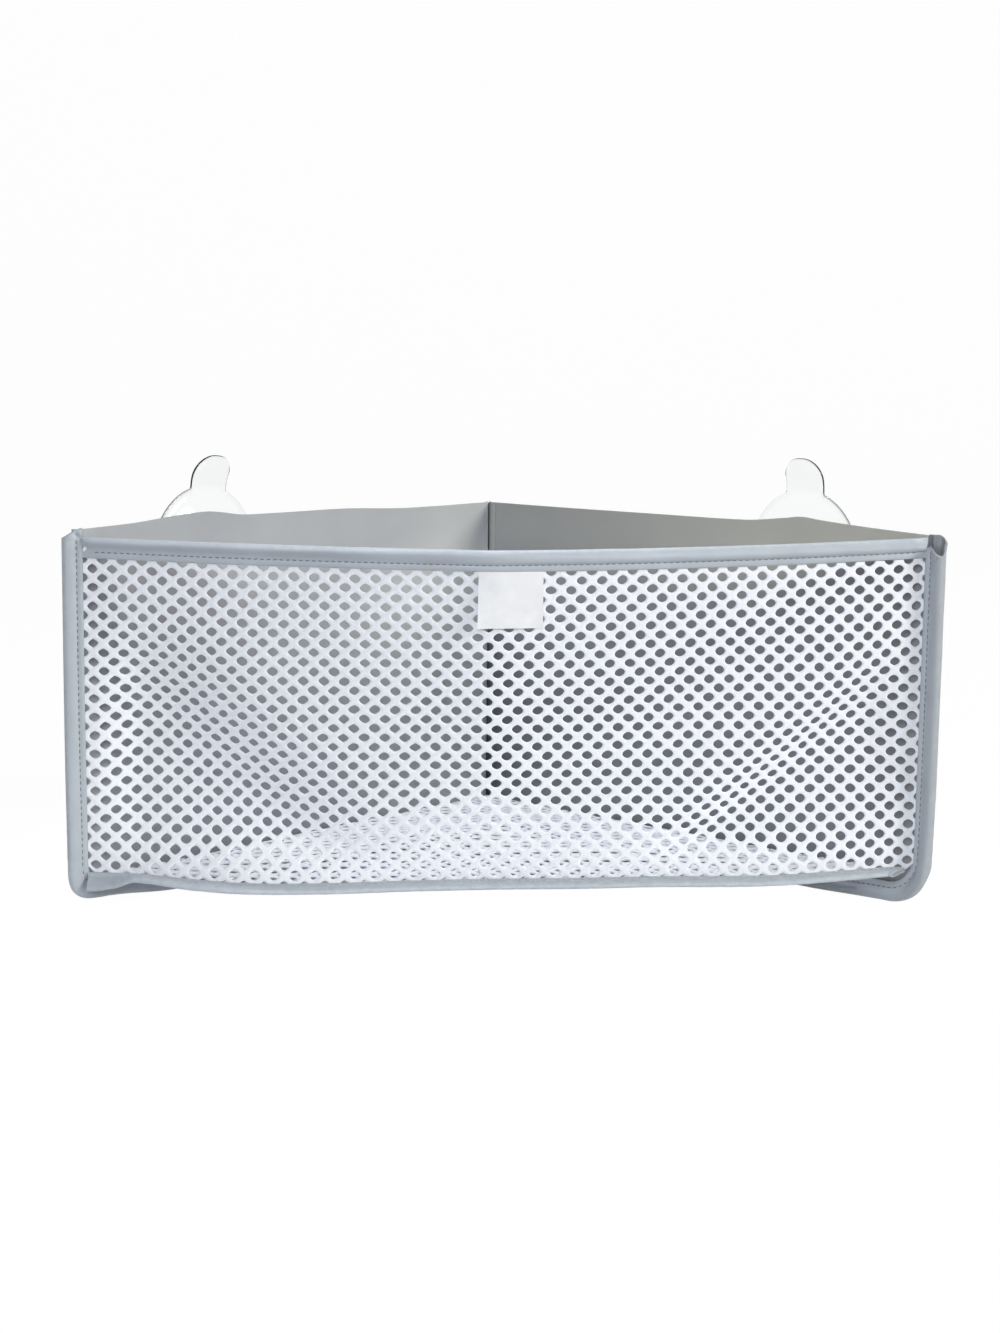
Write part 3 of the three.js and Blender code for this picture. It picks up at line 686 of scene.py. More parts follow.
def floor_place(across, deep):
    """Points of the floor's middle surface: from the middle, and from the front corners' line to the back."""
    bag = settings("bag")
    half = bag.front_span / 2
    across, deep = np.broadcast_arrays(np.asarray(across, float), np.asarray(deep, float))
    room = (half - np.abs(across) - deep) * HALF - 0.0014
    front = bag.front_line - front_bow(across, np.zeros_like(across))
    back = np.clip(deep / half, 0, 1)
    y = bag.front_line + deep + (front - bag.front_line) * (1 - back) ** 3
    slack = smooth(room, 0, 0.06) * smooth(deep, 0.0, 0.06)
    wave = 0.0012 * np.sin(across / 0.019) * np.sin(deep / 0.016)
    z = bag.floor_height + (bag.floor_rise + wave) * slack - eased(across, DIP) * (1 - back) ** 3
    over = np.clip(-room, 0, None)
    inward = np.stack([-np.sign(across) * HALF, -np.full_like(across, HALF), np.zeros_like(across)], axis=-1)
    points = np.stack([across, y, z], axis=-1) + inward * over[..., None]
    points[..., 2] -= over
    return points


# Walls

class ORGANIZER_OT_walls(Operator):
    """Makes the two vinyl walls with their slack, their raised crests and the holes for the cups"""
    bl_idname = "organizer.walls"
    bl_label = "Walls"

    def execute(self, context):
        for name, hand in HANDS:
            wall = make_wall(name, hand)
            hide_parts(f"{name}_wall")
            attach(wall, "bag")
        return {"FINISHED"}


def wall_light_and_shade(hand, along, up):
    """How much light and how much shade are painted on a wall's inner side, by the place along it and up it."""
    top, reach = settings("bag").wall_top, wall_length()
    strip = 0.012 + 0.033 * smooth(along, 0.02, 0.1)  # height of the strip of painted light under the top edge
    edge = smooth(up, top - strip, top - 0.008)
    # Left wall: painted light in the strip under the top edge, by the back seam and in the low front corner, and
    # painted shade in the upper front part below that strip
    if hand < 0:
        by_seam = smooth(along, 0.14, 0.235) * (
            0.8 + 0.2 * smooth(up, 0.085, 0.115) - 0.4 * smooth(up, top - 0.03, top - 0.005)
        )
        low_corner = 0.5 * (1 - smooth(along, 0.025, 0.065)) * (1 - smooth(up, 0.05, 0.12))
        front_end = smooth(along, 0.022, 0.045) * (1 - smooth(along, 0.07, 0.115))
        return {
            "bleached": np.maximum(0.39 * edge, np.maximum(by_seam, low_corner)),
            "dull": 0.32 * front_end * smooth(up, 0.06, 0.12) * (1 - edge),
        }
    # Right wall: painted light in the strip under the top edge, fading toward the seam, and high up near the seam;
    # painted shade by the back seam and low down
    paler = 1.0 - 0.64 * smooth(along, 0.03, 0.25)
    from_seam = np.minimum(along - reach, 0)
    by_seam = np.exp(from_seam / 0.018) * (1 - 0.95 * smooth(up, 0.095, 0.122))
    high_band = smooth(up, 0.1, 0.125) * (1 - smooth(up, top - 0.03, top - 0.012))
    return {
        "bleached": np.maximum(paler * edge, 0.45 * np.exp(from_seam / 0.035) * high_band),
        "dull": np.minimum(by_seam + 0.12 * (1 - smooth(up, 0.05, 0.09)), 1.0),
    }


def wall_hole():
    """Radius of the hole for a cup's neck."""
    return settings("cup").neck + HOLE_ROOM


def wall_grid(name):
    """Places along a wall and up it, drawn into rings round the cup's hole, and where the wall's back edge bends."""
    cup_along, cup_up = cup_place(name)
    cell = 0.0024
    block = cell * 3  # half the side of the square of cells that is drawn round the hole
    tucked = 0.0045  # how far the wall's front edge reaches into the side tape
    lowest = 0.0045
    bend = wall_length() - {"left": 0.0017, "right": 0.0009}[name]
    along = np.concatenate([
        np.arange(cup_along, -tucked, -cell)[::-1],
        np.arange(cup_along + cell, bend - 0.005, cell),
        bend - np.array([0.0046, 0.004, 0.0036, 0.0032, 0.0028, 0.0024, 0.0018, 0.001]),
        bend + np.array([0.0, 0.0006, 0.0012, 0.002, 0.003, 0.0045, 0.006]),
    ])
    up = np.concatenate([np.arange(cup_up, lowest, -cell)[::-1], cup_up + cell * np.arange(1, 6)])
    u, z = np.meshgrid(along, up)
    crest = settings("bag").wall_top + eased(along, CREST[name])
    upper = up[-1] + (crest[None, :] - up[-1]) * np.linspace(0, 1, 4)[1:, None]
    u = np.concatenate([u, np.broadcast_to(along, upper.shape)])
    z = np.concatenate([z, upper])
    du, dz = u - cup_along, z - cup_up
    square = np.maximum(np.abs(du), np.abs(dz))
    round_share = np.clip((block * 2 - square) / block, 0, 1)
    size = np.hypot(du, dz)
    size[size == 0] = 1
    target = wall_hole() + np.clip(square - block, 0, None)
    u = u + round_share * (target * du / size - du)
    z = z + round_share * (target * dz / size - dz)
    return u, z, bend


def wall_quads(name, hand, u, z):
    """Quads of a wall's grid, without those in the cup's hole and those that would stand out past the tapes."""
    cup_along, cup_up = cup_place(name)
    corner, lift = corner_turn(name)
    tucked_corner, tucked_low = 0.004, 0.0055  # how far the wall reaches into the side tape there
    quads = grid_quads(*u.shape)
    centre_u, centre_z = (places.reshape(-1)[quads].mean(1) for places in (u, z))
    in_hole = np.hypot(centre_u - cup_along, centre_z - cup_up) < wall_hole() * 0.97
    corner_u = centre_u - corner
    corner_z = centre_z - (settings("tape").width + lift + corner)
    past_corner = (corner_u < 0) & (corner_z < 0) & (np.hypot(corner_u, corner_z) > corner + tucked_corner)
    below_tape = centre_z < bottom_line(name, centre_u) - tucked_low
    upper_corner = (centre_u < 0.0) & (centre_z > settings("bag").wall_top - 0.008) & (hand > 0)
    quads = quads[~(in_hole | past_corner | below_tape | upper_corner)]
    return quads[:, ::-1] if hand < 0 else quads


def make_wall(name, hand):
    """A wall sheet, its front edge in the side tape, its back edge bent into the seam and light and shade painted on
    its inner side.
    """
    u, z, bend = wall_grid(name)
    flat_u = np.minimum(u, bend)
    pressed = 0.0005 * np.exp(-((bend - 0.0032 - u) / 0.0005) ** 2) * (hand > 0)  # beside the back seam
    ahead = np.clip(-u, 0, None)
    middle = wall_place(hand, np.maximum(flat_u, 0), z, pressed - wall_fall(name, flat_u, z))
    middle = middle + ahead[..., None] * flange_way(name, hand, z)
    middle[..., 1] += np.clip(u - bend, 0, None)
    outward = np.array([hand * HALF, HALF, 0.0])
    sideways = np.array([hand * 1.0, 0.0, 0.0])
    in_seam = smooth(u - bend, -0.0004, 0.001)[..., None]
    normal = unit(outward * (1 - in_seam) + sideways * in_seam)
    half = settings("bag").vinyl / 2
    quads = wall_quads(name, hand, u, z)
    kept, fresh = np.unique(quads, return_inverse=True)
    quads = fresh.reshape(quads.shape)
    points = np.concatenate([(middle + side * half * normal).reshape(-1, 3)[kept] for side in (1, -1)])
    inside = np.repeat([0.0, 1.0], len(kept))
    # Painted light and shade, on the inner layer only
    painted_marks = wall_light_and_shade(hand, np.tile(u.reshape(-1)[kept], 2), points[:, 2])
    marks = {mark: inside * amount for mark, amount in painted_marks.items()}
    wall = new_piece(
        f"{name}_wall_sheet", points, two_sided(quads, len(kept)), shared_finish(f"{name}_vinyl"), marks
    )
    sharpen(wall, 50)
    return wall


# Nets

def net_area(outline):
    """Area of a net's cloth in the flat, without its holes, by the area of its outline."""
    net = settings("net")
    hole = HOLE_SHARE * net.hole_width * net.hole_height
    return outline * (1 - hole / (net.pitch * net.row))


def net_cells(inside, low, high):
    """Cell places of a net in the flat: the middle of each hole for which inside says yes."""
    net = settings("net")
    columns = np.arange(math.floor(low[0] / net.pitch * 2), math.ceil(high[0] / net.pitch * 2) + 1)
    rows = np.arange(math.floor(low[1] / net.row), math.ceil(high[1] / net.row) + 1)
    i, j = (axis.reshape(-1) for axis in np.meshgrid(columns, rows))
    staggered = (i + j) % 2 == 0
    i, j = i[staggered], j[staggered]
    kept = inside(i * net.pitch / 2, j * net.row)
    return i[kept], j[kept]


def make_net(name, place, inside, low, high, seed):
    """A knitted net: lens shaped holes with rounded edges in staggered rows, drawn to points toward the left."""
    net = settings("net")
    sides = 12
    steps = sides // 4
    jitter = 0.00012  # of the holes' places
    between_share = 0.38  # of the way from a hole's edge to its cell's edge, where the cloth reaches its thickness
    i, j = net_cells(inside, low, high)
    count = len(i)
    corners = np.array([(1, 0), (0, 1), (-1, 0), (0, -1)])
    ring = np.array([
        corners[k // steps] * (steps - k % steps) + corners[(k // steps + 1) % 4] * (k % steps)
        for k in range(sides)
    ])
    keys = np.stack([i, j], axis=-1)[:, None, :] * steps + ring[None]
    flat_keys, ring_index = np.unique(keys.reshape(-1, 2), axis=0, return_inverse=True)
    ring_index = ring_index.reshape(count, sides)
    scale = np.array([net.pitch / 2, net.row])
    ring_flat = flat_keys / steps * scale

    draw = np.random.default_rng(seed)
    turn = np.arange(sides) * 2 * math.pi / sides
    size = draw.uniform(0.94, 1.06, (count, 1, 2))
    lean = draw.uniform(-0.12, 0.12, (count, 1))
    lens = np.stack([
        np.sign(np.cos(turn)) * np.abs(np.cos(turn)) ** 1.25 * net.hole_width / 2,
        np.sign(np.sin(turn)) * np.abs(np.sin(turn)) ** 0.86 * net.hole_height / 2,
    ], axis=-1)
    hole = lens[None] * size
    hole[..., 1] += hole[..., 0] * lean
    centre = np.stack([i, j], axis=-1) * scale
    centre = centre + draw.uniform(-jitter, jitter, centre.shape)
    tight = draw.uniform(0.2, 1.0, (count, 1, 1)) * (0.3 + 0.7 * smooth(-centre[:, :1, None], -0.02, 0.06))
    hole = hole * (1 + tight * (0.06 - 0.2 * np.abs(np.sin(2 * turn))[None, :, None]))
    hole_flat = centre[:, None, :] + hole
    between_flat = hole_flat + (ring_flat[ring_index] - hole_flat) * between_share

    flat = np.concatenate([ring_flat, between_flat.reshape(-1, 2), hole_flat.reshape(-1, 2)])
    middle = place(flat[:, 0], flat[:, 1])
    normal = face_direction(place, flat[:, 0], flat[:, 1])
    half = np.concatenate([
        np.full(len(ring_flat), net.thickness / 2),
        np.full(count * sides, net.thickness * 0.47),
        np.full(count * sides, net.edge / 2),
    ])[:, None]
    total = len(flat)
    points = np.concatenate([middle + normal * half, middle - normal * half])
    between = len(ring_flat) + np.arange(count * sides).reshape(count, sides)
    edge = between + count * sides

    def band(outer, inner):
        after = np.roll(np.arange(sides), -1)
        return np.stack([outer, outer[:, after], inner[:, after], inner], axis=-1).reshape(-1, 4)

    quads = np.concatenate([band(ring_index, between), band(between, edge)])
    return new_piece(name, points, two_sided(quads, total), shared_finish("net"))


class ORGANIZER_OT_front_net(Operator):
    """Makes the net front with its bow, centre fold and slanting creases"""
    bl_idname = "organizer.front_net"
    bl_label = "Front Net"

    def execute(self, context):
        bag = settings("bag")
        half = bag.front_span / 2
        height = bag.wall_top - TOP_DROP - bag.floor_height
        side_hem, low_hem, top_gap = 0.0015, 0.0035, 0.0055  # past the side and bottom seams, and short of the top
        low_inset, right_inset = 0.002, 0.0095  # short of the side seams near the bottom, and in its right corner

        def inside(across, up):
            wide = np.where(up < 0.006, half - low_inset, half + side_hem)
            wide = np.where((up < 0.003) & (across > 0), half - right_inset, wide)
            return (np.abs(across) < wide) & (up > -low_hem) & (up < height - top_gap)

        net = make_net("front_net_panel", front_place, inside, (-half - 0.01, -0.01), (half + 0.01, height), 11)
        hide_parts("front_net")
        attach(net, "bag")
        net_area(0.384 * 0.158)
        return {"FINISHED"}


class ORGANIZER_OT_floor_net(Operator):
    """Makes the slack net floor"""
    bl_idname = "organizer.floor_net"
    bl_label = "Floor Net"

    def execute(self, context):
        half = settings("bag").front_span / 2
        hem, front_gap = 0.0035, 0.0035  # past the walls, and short of the front corners' line
        corner_inset, right_inset = 0.016, 0.024  # where the net ends in the front corners

        def inside(across, deep):
            room = (half - np.abs(across) - deep) * HALF
            corner = (np.abs(across) < half - corner_inset) | (room > 0.001)
            return (room > -hem) & (deep > front_gap) & corner & (across < half - right_inset)

        net = make_net("floor_net_panel", floor_place, inside, (-half - 0.01, -0.01), (half + 0.01, half + 0.01), 12)
        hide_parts("floor_net")
        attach(net, "bag")
        net_area(0.0395)
        return {"FINISHED"}


# Tapes

def tape_section(width, lip, groove, body, sheet, stitch_line, rise=0.003):
    """Outer and inner outline of a folded tape, from one open edge over the fold to the other.

    The first value runs from the open edge to the fold, the second across the tape's thickness. The tape swells from
    its lip to its body over the rise.
    """
    start = np.array([0.0, 0.0004, 0.001, 0.0017, 0.0022, 0.0027, 0.0032, 0.0038, 0.0046, 0.0055, 0.0063])
    thick = lip + (body - lip) * smooth(start, stitch_line, stitch_line + rise)
    thick = thick - (lip - groove) * np.exp(-((start - stitch_line) / 0.0006) ** 2)
    thick[0] -= sheet * 0.35
    round_end = np.linspace(0, math.pi / 2, 8)[1:]
    ease = width - start[-1]
    fold_along = start[-1] + ease * np.sin(round_end)
    fold_thick = body * np.cos(round_end) ** 0.8
    along = np.concatenate([start, fold_along])
    outer_thick = np.concatenate([thick, fold_thick])
    inner_along = along * (width - sheet) / width
    inner_thick = np.clip(outer_thick - sheet, 0.00012, None)
    inner_thick[-1] = 0.0
    outer_thick[-1] = 0.0
    outer = np.concatenate([
        np.stack([along, outer_thick], -1), np.stack([along, -outer_thick], -1)[-2::-1]
    ])
    inner = np.concatenate([
        np.stack([inner_along, inner_thick], -1), np.stack([inner_along, -inner_thick], -1)[-2::-1]
    ])
    return outer, inner


def make_tape(name, put, stations, section, closed_ends=(False, False), rubbed=0.0013, soiled=0.0):
    """A folded tape along stations, and its width and length in the flat.

    put(station, along, across) gives the points of one station's outline. The tape pales within a reach of its fold,
    for rubbed wear and a painted highlight, and painted shade darkens its outer side toward its fold by a share.
    """
    outer, inner = section
    ring = len(outer)
    width = outer[:, 0].max()
    # Painted shade over the tape's inner layer, which lies inside the fold
    inner_painted_shade = 0.8
    rows = [
        np.stack([put(station, outline[:, 0], outline[:, 1]) for station in stations]) for outline in (outer, inner)
    ]
    points = np.concatenate([layer.reshape(-1, 3) for layer in rows])
    count = len(stations) * ring
    faces = two_sided(grid_quads(len(stations), ring), count)
    for end, closed in zip((0, len(stations) - 1), closed_ends):
        if closed:
            base = count + end * ring
            half = ring // 2
            lid = np.array([[base + k, base + k + 1, base + ring - 2 - k, base + ring - 1 - k] for k in range(half)])
            faces.append(lid[:-1])
            faces.append([[base + half - 1, base + half, base + half + 1]])
    fold = np.concatenate([
        np.tile(np.exp(-((width - outline[:, 0]) / rubbed) ** 2), len(stations)) for outline in (outer, inner)
    ])
    # Painted shade: by a share toward the fold on the outer layer, and over the inner layer
    dull = np.concatenate([
        np.tile(soiled * smooth(outer[:, 0], 0.3 * width, 0.9 * width), len(stations)), np.full(count, inner_painted_shade)
    ])
    line = rows[0][:, ring // 2]
    run = np.concatenate([[0.0], np.cumsum(np.linalg.norm(np.diff(line, axis=0), axis=1))])
    side = np.concatenate([[0.0], np.cumsum(np.linalg.norm(np.diff(outer, axis=0), axis=1))])
    marks = {
        "fold": fold,
        "dull": dull,
        "run": np.tile(np.repeat(run, ring), 2),
        "side": np.tile(np.tile(side, len(stations)), 2),
    }
    tape = new_piece(name, points, faces, shared_finish("tape"), marks)
    sharpen(tape, 65)
    return tape, (float(side[-1]), float(run[-1]))


def make_stitches(name, runs, thread="thread"):
    """Stitches as short bent lengths of thread. Each run is points, directions along and directions out."""
    tape = settings("tape")
    sides = 6
    along = np.array([-1.0, -0.72, -0.3, 0.3, 0.72, 1.0]) * tape.stitch_pitch * 0.4
    thick = np.array([0.25, 0.8, 1.0, 1.0, 0.8, 0.25]) * tape.thread
    lift = np.array([-1.1, -0.15, 0.35, 0.35, -0.15, -1.1]) * tape.thread
    turn = np.arange(sides) * 2 * math.pi / sides
    draw = np.random.default_rng(5)
    points, faces = [], []
    total = 0
    ring = np.arange(sides)
    after = np.roll(ring, -1)
    for places, ways, outs in runs:
        for place, way, out in zip(places, ways, outs):
            across = np.cross(out, way)
            slant = draw.uniform(-0.12, 0.12)
            way, across = way + across * slant, across - way * slant
            middle = place + along[:, None] * way + lift[:, None] * out
            circle = np.cos(turn)[:, None] * across + np.sin(turn)[:, None] * out
            points.append((middle[:, None, :] + thick[:, None, None] * circle[None]).reshape(-1, 3))
            for k in range(len(along) - 1):
                low, high = total + k * sides, total + (k + 1) * sides
                faces.append(np.stack([low + ring, low + after, high + after, high + ring], axis=-1))
            caps = np.stack([total + ring[::-1], total + (len(along) - 1) * sides + ring])
            faces.append(caps)
            total += len(along) * sides
    return new_piece(name, np.concatenate(points), faces, shared_finish(thread))


def stitch_run(put, start, end, section, face):
    """Places of stitches along a tape's stations, on one of its faces."""
    tape = settings("tape")
    outer = section[0]
    half = len(outer) // 2
    thick = np.interp(tape.stitch_line, outer[:half + 1, 0], outer[:half + 1, 1])
    count = int((end - start) / tape.stitch_pitch)
    stations = np.linspace(start, end, count + 2)[1:-1]
    step = (end - start) / count * 0.2
    line = np.array([tape.stitch_line])

    def point(station, across):
        return put(station, line, np.array([across]))[0]

    places = np.array([point(s, face * thick) for s in stations])
    ways = unit(np.array([point(s + step, face * thick) - point(s - step, face * thick) for s in stations]))
    outs = unit(np.array([point(s, face * (thick + 0.001)) - point(s, face * thick) for s in stations]))
    return places, ways, outs


def front_normal(across, up):
    return face_direction(front_place, across, up, 0.0015)


def sew_tape(name, put, stations, section, sewn_to, end_gap, thread="thread", **look):
    """Makes a tape and its stitches, which start and end a gap away from its ends."""
    tape, flat = make_tape(f"{name}_tape", put, stations, section, **look)
    start, end = stations[0] + end_gap, stations[-1] - end_gap
    runs = [stitch_run(put, start, end, section, face) for face in (1, -1)]
    stitches = make_stitches(f"{name}_stitches", runs, thread)
    for piece in (tape, stitches):
        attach(piece, "bag")
    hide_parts(f"{name}_binding")


# How far the top tape's front face sinks near its stitches and swells near its fold, by its place across
TOP_ROLL = ((-0.186, 0.0009), (-0.1, 0.0009), (-0.03, 0.0001), (0.02, -0.0005), (0.186, -0.0009))


class ORGANIZER_OT_front_tapes(Operator):
    """Makes the folded tapes along the top and the bottom of the net front"""
    bl_idname = "organizer.front_tapes"
    bl_label = "Front Tapes"

    def execute(self, context):
        self.make_top()
        self.make_bottom()
        return {"FINISHED"}

    def make_top(self):
        tape = settings("tape")
        half = settings("bag").front_span / 2 - TAPE_END
        edge = net_height() - tape.width
        section = tape_section(tape.width, 0.0014, 0.00095, 0.0025, tape.sheet, tape.stitch_line)
        wrinkle, wander = ripple(21, 5, 0.005, 0.012), ripple(22, 4, 0.03, 0.09)

        def from_stitches(along):
            return np.clip((along - tape.stitch_line) / (tape.width - tape.stitch_line), 0, 1)

        def put(station, along, across):
            gather = 0.0006 * math.exp(-(half - abs(station)) / 0.011) + 0.00008
            pinch = 1 - 0.45 * math.exp(-(half - abs(station)) / 0.004)
            body = smooth(along, tape.stitch_line, tape.stitch_line + 0.002)
            puff = gather * wrinkle(station + 0.45 * along) * body + 0.0002 * wander(station) * body
            x = np.full_like(along, station)
            lean = 0.0003 * wander(station * 1.7)
            roll = eased(station, TOP_ROLL) * np.sin(2 * math.pi * from_stitches(along))
            out = across * pinch + np.sign(across) * puff + lean * body - np.where(across > 0, roll, 0.0)
            return front_place(x, edge + along) + front_normal(x, edge + along) * out[:, None]

        stations = np.linspace(-half, half, 261)
        sew_tape("front_top", put, stations, section, ["front_net_panel"], 0.004, closed_ends=(True, True))

    def make_bottom(self):
        tape = settings("tape")
        half = settings("bag").front_span / 2 - TAPE_END
        section = tape_section(tape.width, 0.00125, 0.00095, 0.0014, tape.sheet, tape.stitch_line)
        wrinkle, wander = ripple(23, 5, 0.006, 0.014), ripple(24, 4, 0.03, 0.1)
        cut = half - 0.005  # the right end, which bends out of the corner toward the viewer
        bend = 0.012
        behind = 0.0002  # how far the open edges lie behind the seam

        def line(station):
            point = front_place(np.array(station), np.array(0.0))
            past = max(0.0, station - (cut - bend)) / bend
            return point + np.array([-0.0018 * past ** 2, -0.0065 * past ** 2, 0.001 * past ** 2])

        def put(station, along, across):
            near_end = math.exp(-(half - abs(station)) / 0.012)
            thinner = 1 - 0.25 * near_end * (station > 0)
            base, way = line(station), unit(line(station + 0.001) - line(station - 0.001))
            point_way = bottom_way(np.full_like(along, station))
            point_way = unit(point_way - way * (point_way @ way)[:, None])
            face = np.cross(way, point_way)
            crumple = 0.0006 * near_end * (station < 0) * wrinkle(station * 2.2 + along * 1.3)
            puff = (0.0002 * near_end + 0.00006) * wrinkle(station) + 0.0001 * wander(station) + crumple
            out = across * thinner + np.sign(across) * puff * smooth(along, 0.003, 0.005)
            return base + point_way * (along - behind)[:, None] + face * out[:, None]

        stations = np.linspace(-half, cut, 261)
        # A wide pale fold on the bottom tape: rubbed wear and a painted highlight
        sew_tape(
            "front_bottom", put, stations, section, ["front_net_panel", "floor_net_panel"], 0.003, "pale_thread",
            closed_ends=(True, True), rubbed=0.0045,
        )


# How far the left side tape's upper end drops, by the distance from its open edge
ROOF = ((0, 0.0), (0.003, 0.0008), (0.0055, 0.0024), (0.009, 0.0044))


class ORGANIZER_OT_wall_tapes(Operator):
    """Makes the side tapes, each down a wall's front edge and along its bottom, and the tape of the back seam"""
    bl_idname = "organizer.wall_tapes"
    bl_label = "Wall Tapes"

    def execute(self, context):
        for name, hand in HANDS:
            self.make_side(name, hand)
        self.make_back()
        return {"FINISHED"}

    def make_side(self, name, hand):
        bag, tape = settings("bag"), settings("tape")
        body, rise = (0.0025, 0.003) if name == "left" else (0.0031, 0.0036)
        section = tape_section(tape.width, 0.0017, 0.00125, body, tape.sheet, tape.stitch_line, rise)
        top = bag.wall_top + {"left": 0.0028, "right": 0.0018}[name]
        squareness = {"left": 3.0, "right": 2.1}[name]  # of the outline under the front corner, 2 for a round one
        corner, lift = corner_turn(name)
        centre = tape.width + lift + corner
        straight = top - centre
        arc = corner * math.pi / 2
        bottom_end = wall_length() - 0.0045  # short of the back seam
        total = straight + arc + bottom_end - corner
        wrinkle, wander = ripple(31 + hand, 5, 0.005, 0.013), ripple(33 + hand, 4, 0.03, 0.09)
        cap = 0.0022  # length over which the left tape's upper end is rounded shut

        def line(distance):
            """Along and up the wall, and the turn of the tape's direction from level to down."""
            if distance < straight:
                return 0.0, top - distance, 0.0
            if distance < straight + arc:
                turn = (distance - straight) / corner
                u = corner * (1 - math.cos(turn))
                z = centre - corner * math.sin(turn)
                return u, z, turn
            u = corner + distance - straight - arc
            return u, float(bottom_line(name, u - corner)), math.pi / 2

        def spot(distance):
            u, z, turn = line(distance)
            base = wall_place(hand, u, z, -0.0006)
            way = flange_way(name, hand, np.array(z)) * math.cos(turn) - np.array([0.0, 0.0, 1.0]) * math.sin(turn)
            reach = (math.cos(turn) ** squareness + math.sin(turn) ** squareness) ** (-1 / squareness)
            return base, unit(way), ((corner + tape.width) * reach - corner) / tape.width

        def put(distance, along, across):
            base, way, wider = spot(distance)
            along_way = way * (along * wider)[:, None]
            step = 0.001
            run = unit(spot(min(distance + step, total))[0] - spot(max(distance - step, 0.0))[0])
            face = unit(np.cross(run, way) * -hand)
            near_end = math.exp(-distance / 0.008)
            near_turn = math.exp(-((distance - straight - arc / 2) / 0.012) ** 2)
            body = smooth(along, tape.stitch_line, tape.stitch_line + 0.002)
            puff = (0.0003 * near_end + 0.0004 * near_turn + 0.00008) * wrinkle(distance) * body
            out = across + np.sign(across) * (puff + 0.0002 * wander(distance) * body)
            if name == "left":
                shut = math.sqrt(1 - (max(0.0, cap - distance) / cap) ** 2)
                slant = (distance - 0.0055 + along * 1.15) / 1.52
                out = out - np.sign(across) * 0.0007 * np.exp(-(slant / 0.0007) ** 2) * (along < 0.0055)
                points = base + along_way + face * (out * max(shut, 0.25))[:, None]
                points[:, 2] -= near_end * eased(along, ROOF)
                return points
            flare = 1 + 0.6 * math.exp(-distance / 0.004) * smooth(along, 0.0, 0.004)
            points = base + along_way + face * (out * flare)[:, None]
            toward_viewer = smooth(-across, -0.0012, 0.0012)
            drop = 0.0055 * toward_viewer + 0.0042 * smooth(along, 0.004, tape.width)
            points[:, 2] -= math.exp(-distance / 0.006) * drop
            return points

        stations = np.concatenate([
            np.linspace(0, cap, 7)[:-1],
            np.linspace(cap, 0.012, 22)[:-1],
            np.linspace(0.012, straight, 84)[:-1],
            np.linspace(straight, straight + arc, 20)[:-1],
            np.linspace(straight + arc, total, 130),
        ])
        # The left tape's fold pales for rubbed wear and a painted highlight, the right tape's hardly; painted shade
        # darkens the right tape's outer side toward its fold
        rubbed, soiled = (0.0013, 0.0) if name == "left" else (0.0004, 0.34)
        sew_tape(
            f"{name}_side", put, stations, section, [f"{name}_wall_sheet"], 0.003,
            closed_ends=(name == "left", True), rubbed=rubbed, soiled=soiled,
        )

    def make_back(self):
        tape = settings("tape")
        section = tape_section(tape.width, 0.0019, 0.0015, 0.0021, tape.sheet, tape.stitch_line)
        low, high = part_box("back_seam_binding")
        wander = ripple(41, 4, 0.03, 0.08)

        def put(height, along, across):
            body = smooth(along, tape.stitch_line, tape.stitch_line + 0.002)
            lean = 0.0003 * wander(height) * body
            out = across + lean + np.sign(across) * 0.0001 * wander(height * 2.3) * body
            return np.stack([out, low.y + along, np.full_like(along, height)], axis=-1)

        stations = np.linspace(low.z, high.z, 90)
        sewn_to = ["left_wall_sheet", "right_wall_sheet"]
        sew_tape("back_seam", put, stations, section, sewn_to, 0.002, closed_ends=(True, False))


# Label

class ORGANIZER_OT_label(Operator):
    """Makes the bare satin label that hangs from under the top tape"""
    bl_idname = "organizer.label"
    bl_label = "Label"

    def execute(self, context):
        sizes = settings("label")
        open_edge = net_height() - settings("tape").width
        tucked = 0.0016  # height of the label behind the tape
        across = np.linspace(-0.5, 0.5, 33) * sizes.width
        hang = np.linspace(-tucked, sizes.height, 37)
        a, h = np.meshgrid(across, hang)
        corner = (np.abs(a) / (sizes.width / 2)) ** 3
        fall = np.clip(h / sizes.height, 0, 1)
        off = 0.0009 + sizes.curl * fall ** 2 * (0.75 + 0.35 * corner) + 0.0011 * fall * (a < 0) * corner
        off = off + 0.00012 * np.sin(a / 0.0031 + 1.0) * fall
        x = sizes.offset + a
        up = open_edge - h
        middle = front_place(x, up)
        normal = front_normal(x, up)
        half = 0.00025  # of the ribbon's thickness
        layers = [middle + normal * (off + side * half)[..., None] for side in (1, -1)]
        points = np.concatenate([layer.reshape(-1, 3) for layer in layers])
        quads = grid_quads(*a.shape)[:, ::-1]
        label = new_piece("front_label_sheet", points, two_sided(quads, a.size), shared_finish("label"))
        sharpen(label, 60)
        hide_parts("front_label")
        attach(label, "bag")
        return {"FINISHED"}


# Suction cups

class ORGANIZER_OT_cups(Operator):
    """Makes the clear suction cups, each in one with its pull tab"""
    bl_idname = "organizer.cups"
    bl_label = "Suction Cups"

    def execute(self, context):
        for name, _ in HANDS:
            make_cup(name)
        return {"FINISHED"}


def bezier(first, control, last, count):
    t = np.linspace(0, 1, count)[:, None]
    first, control, last = (np.array(point) for point in (first, control, last))
    return (1 - t) ** 2 * first + 2 * t * (1 - t) * control + t * t * last


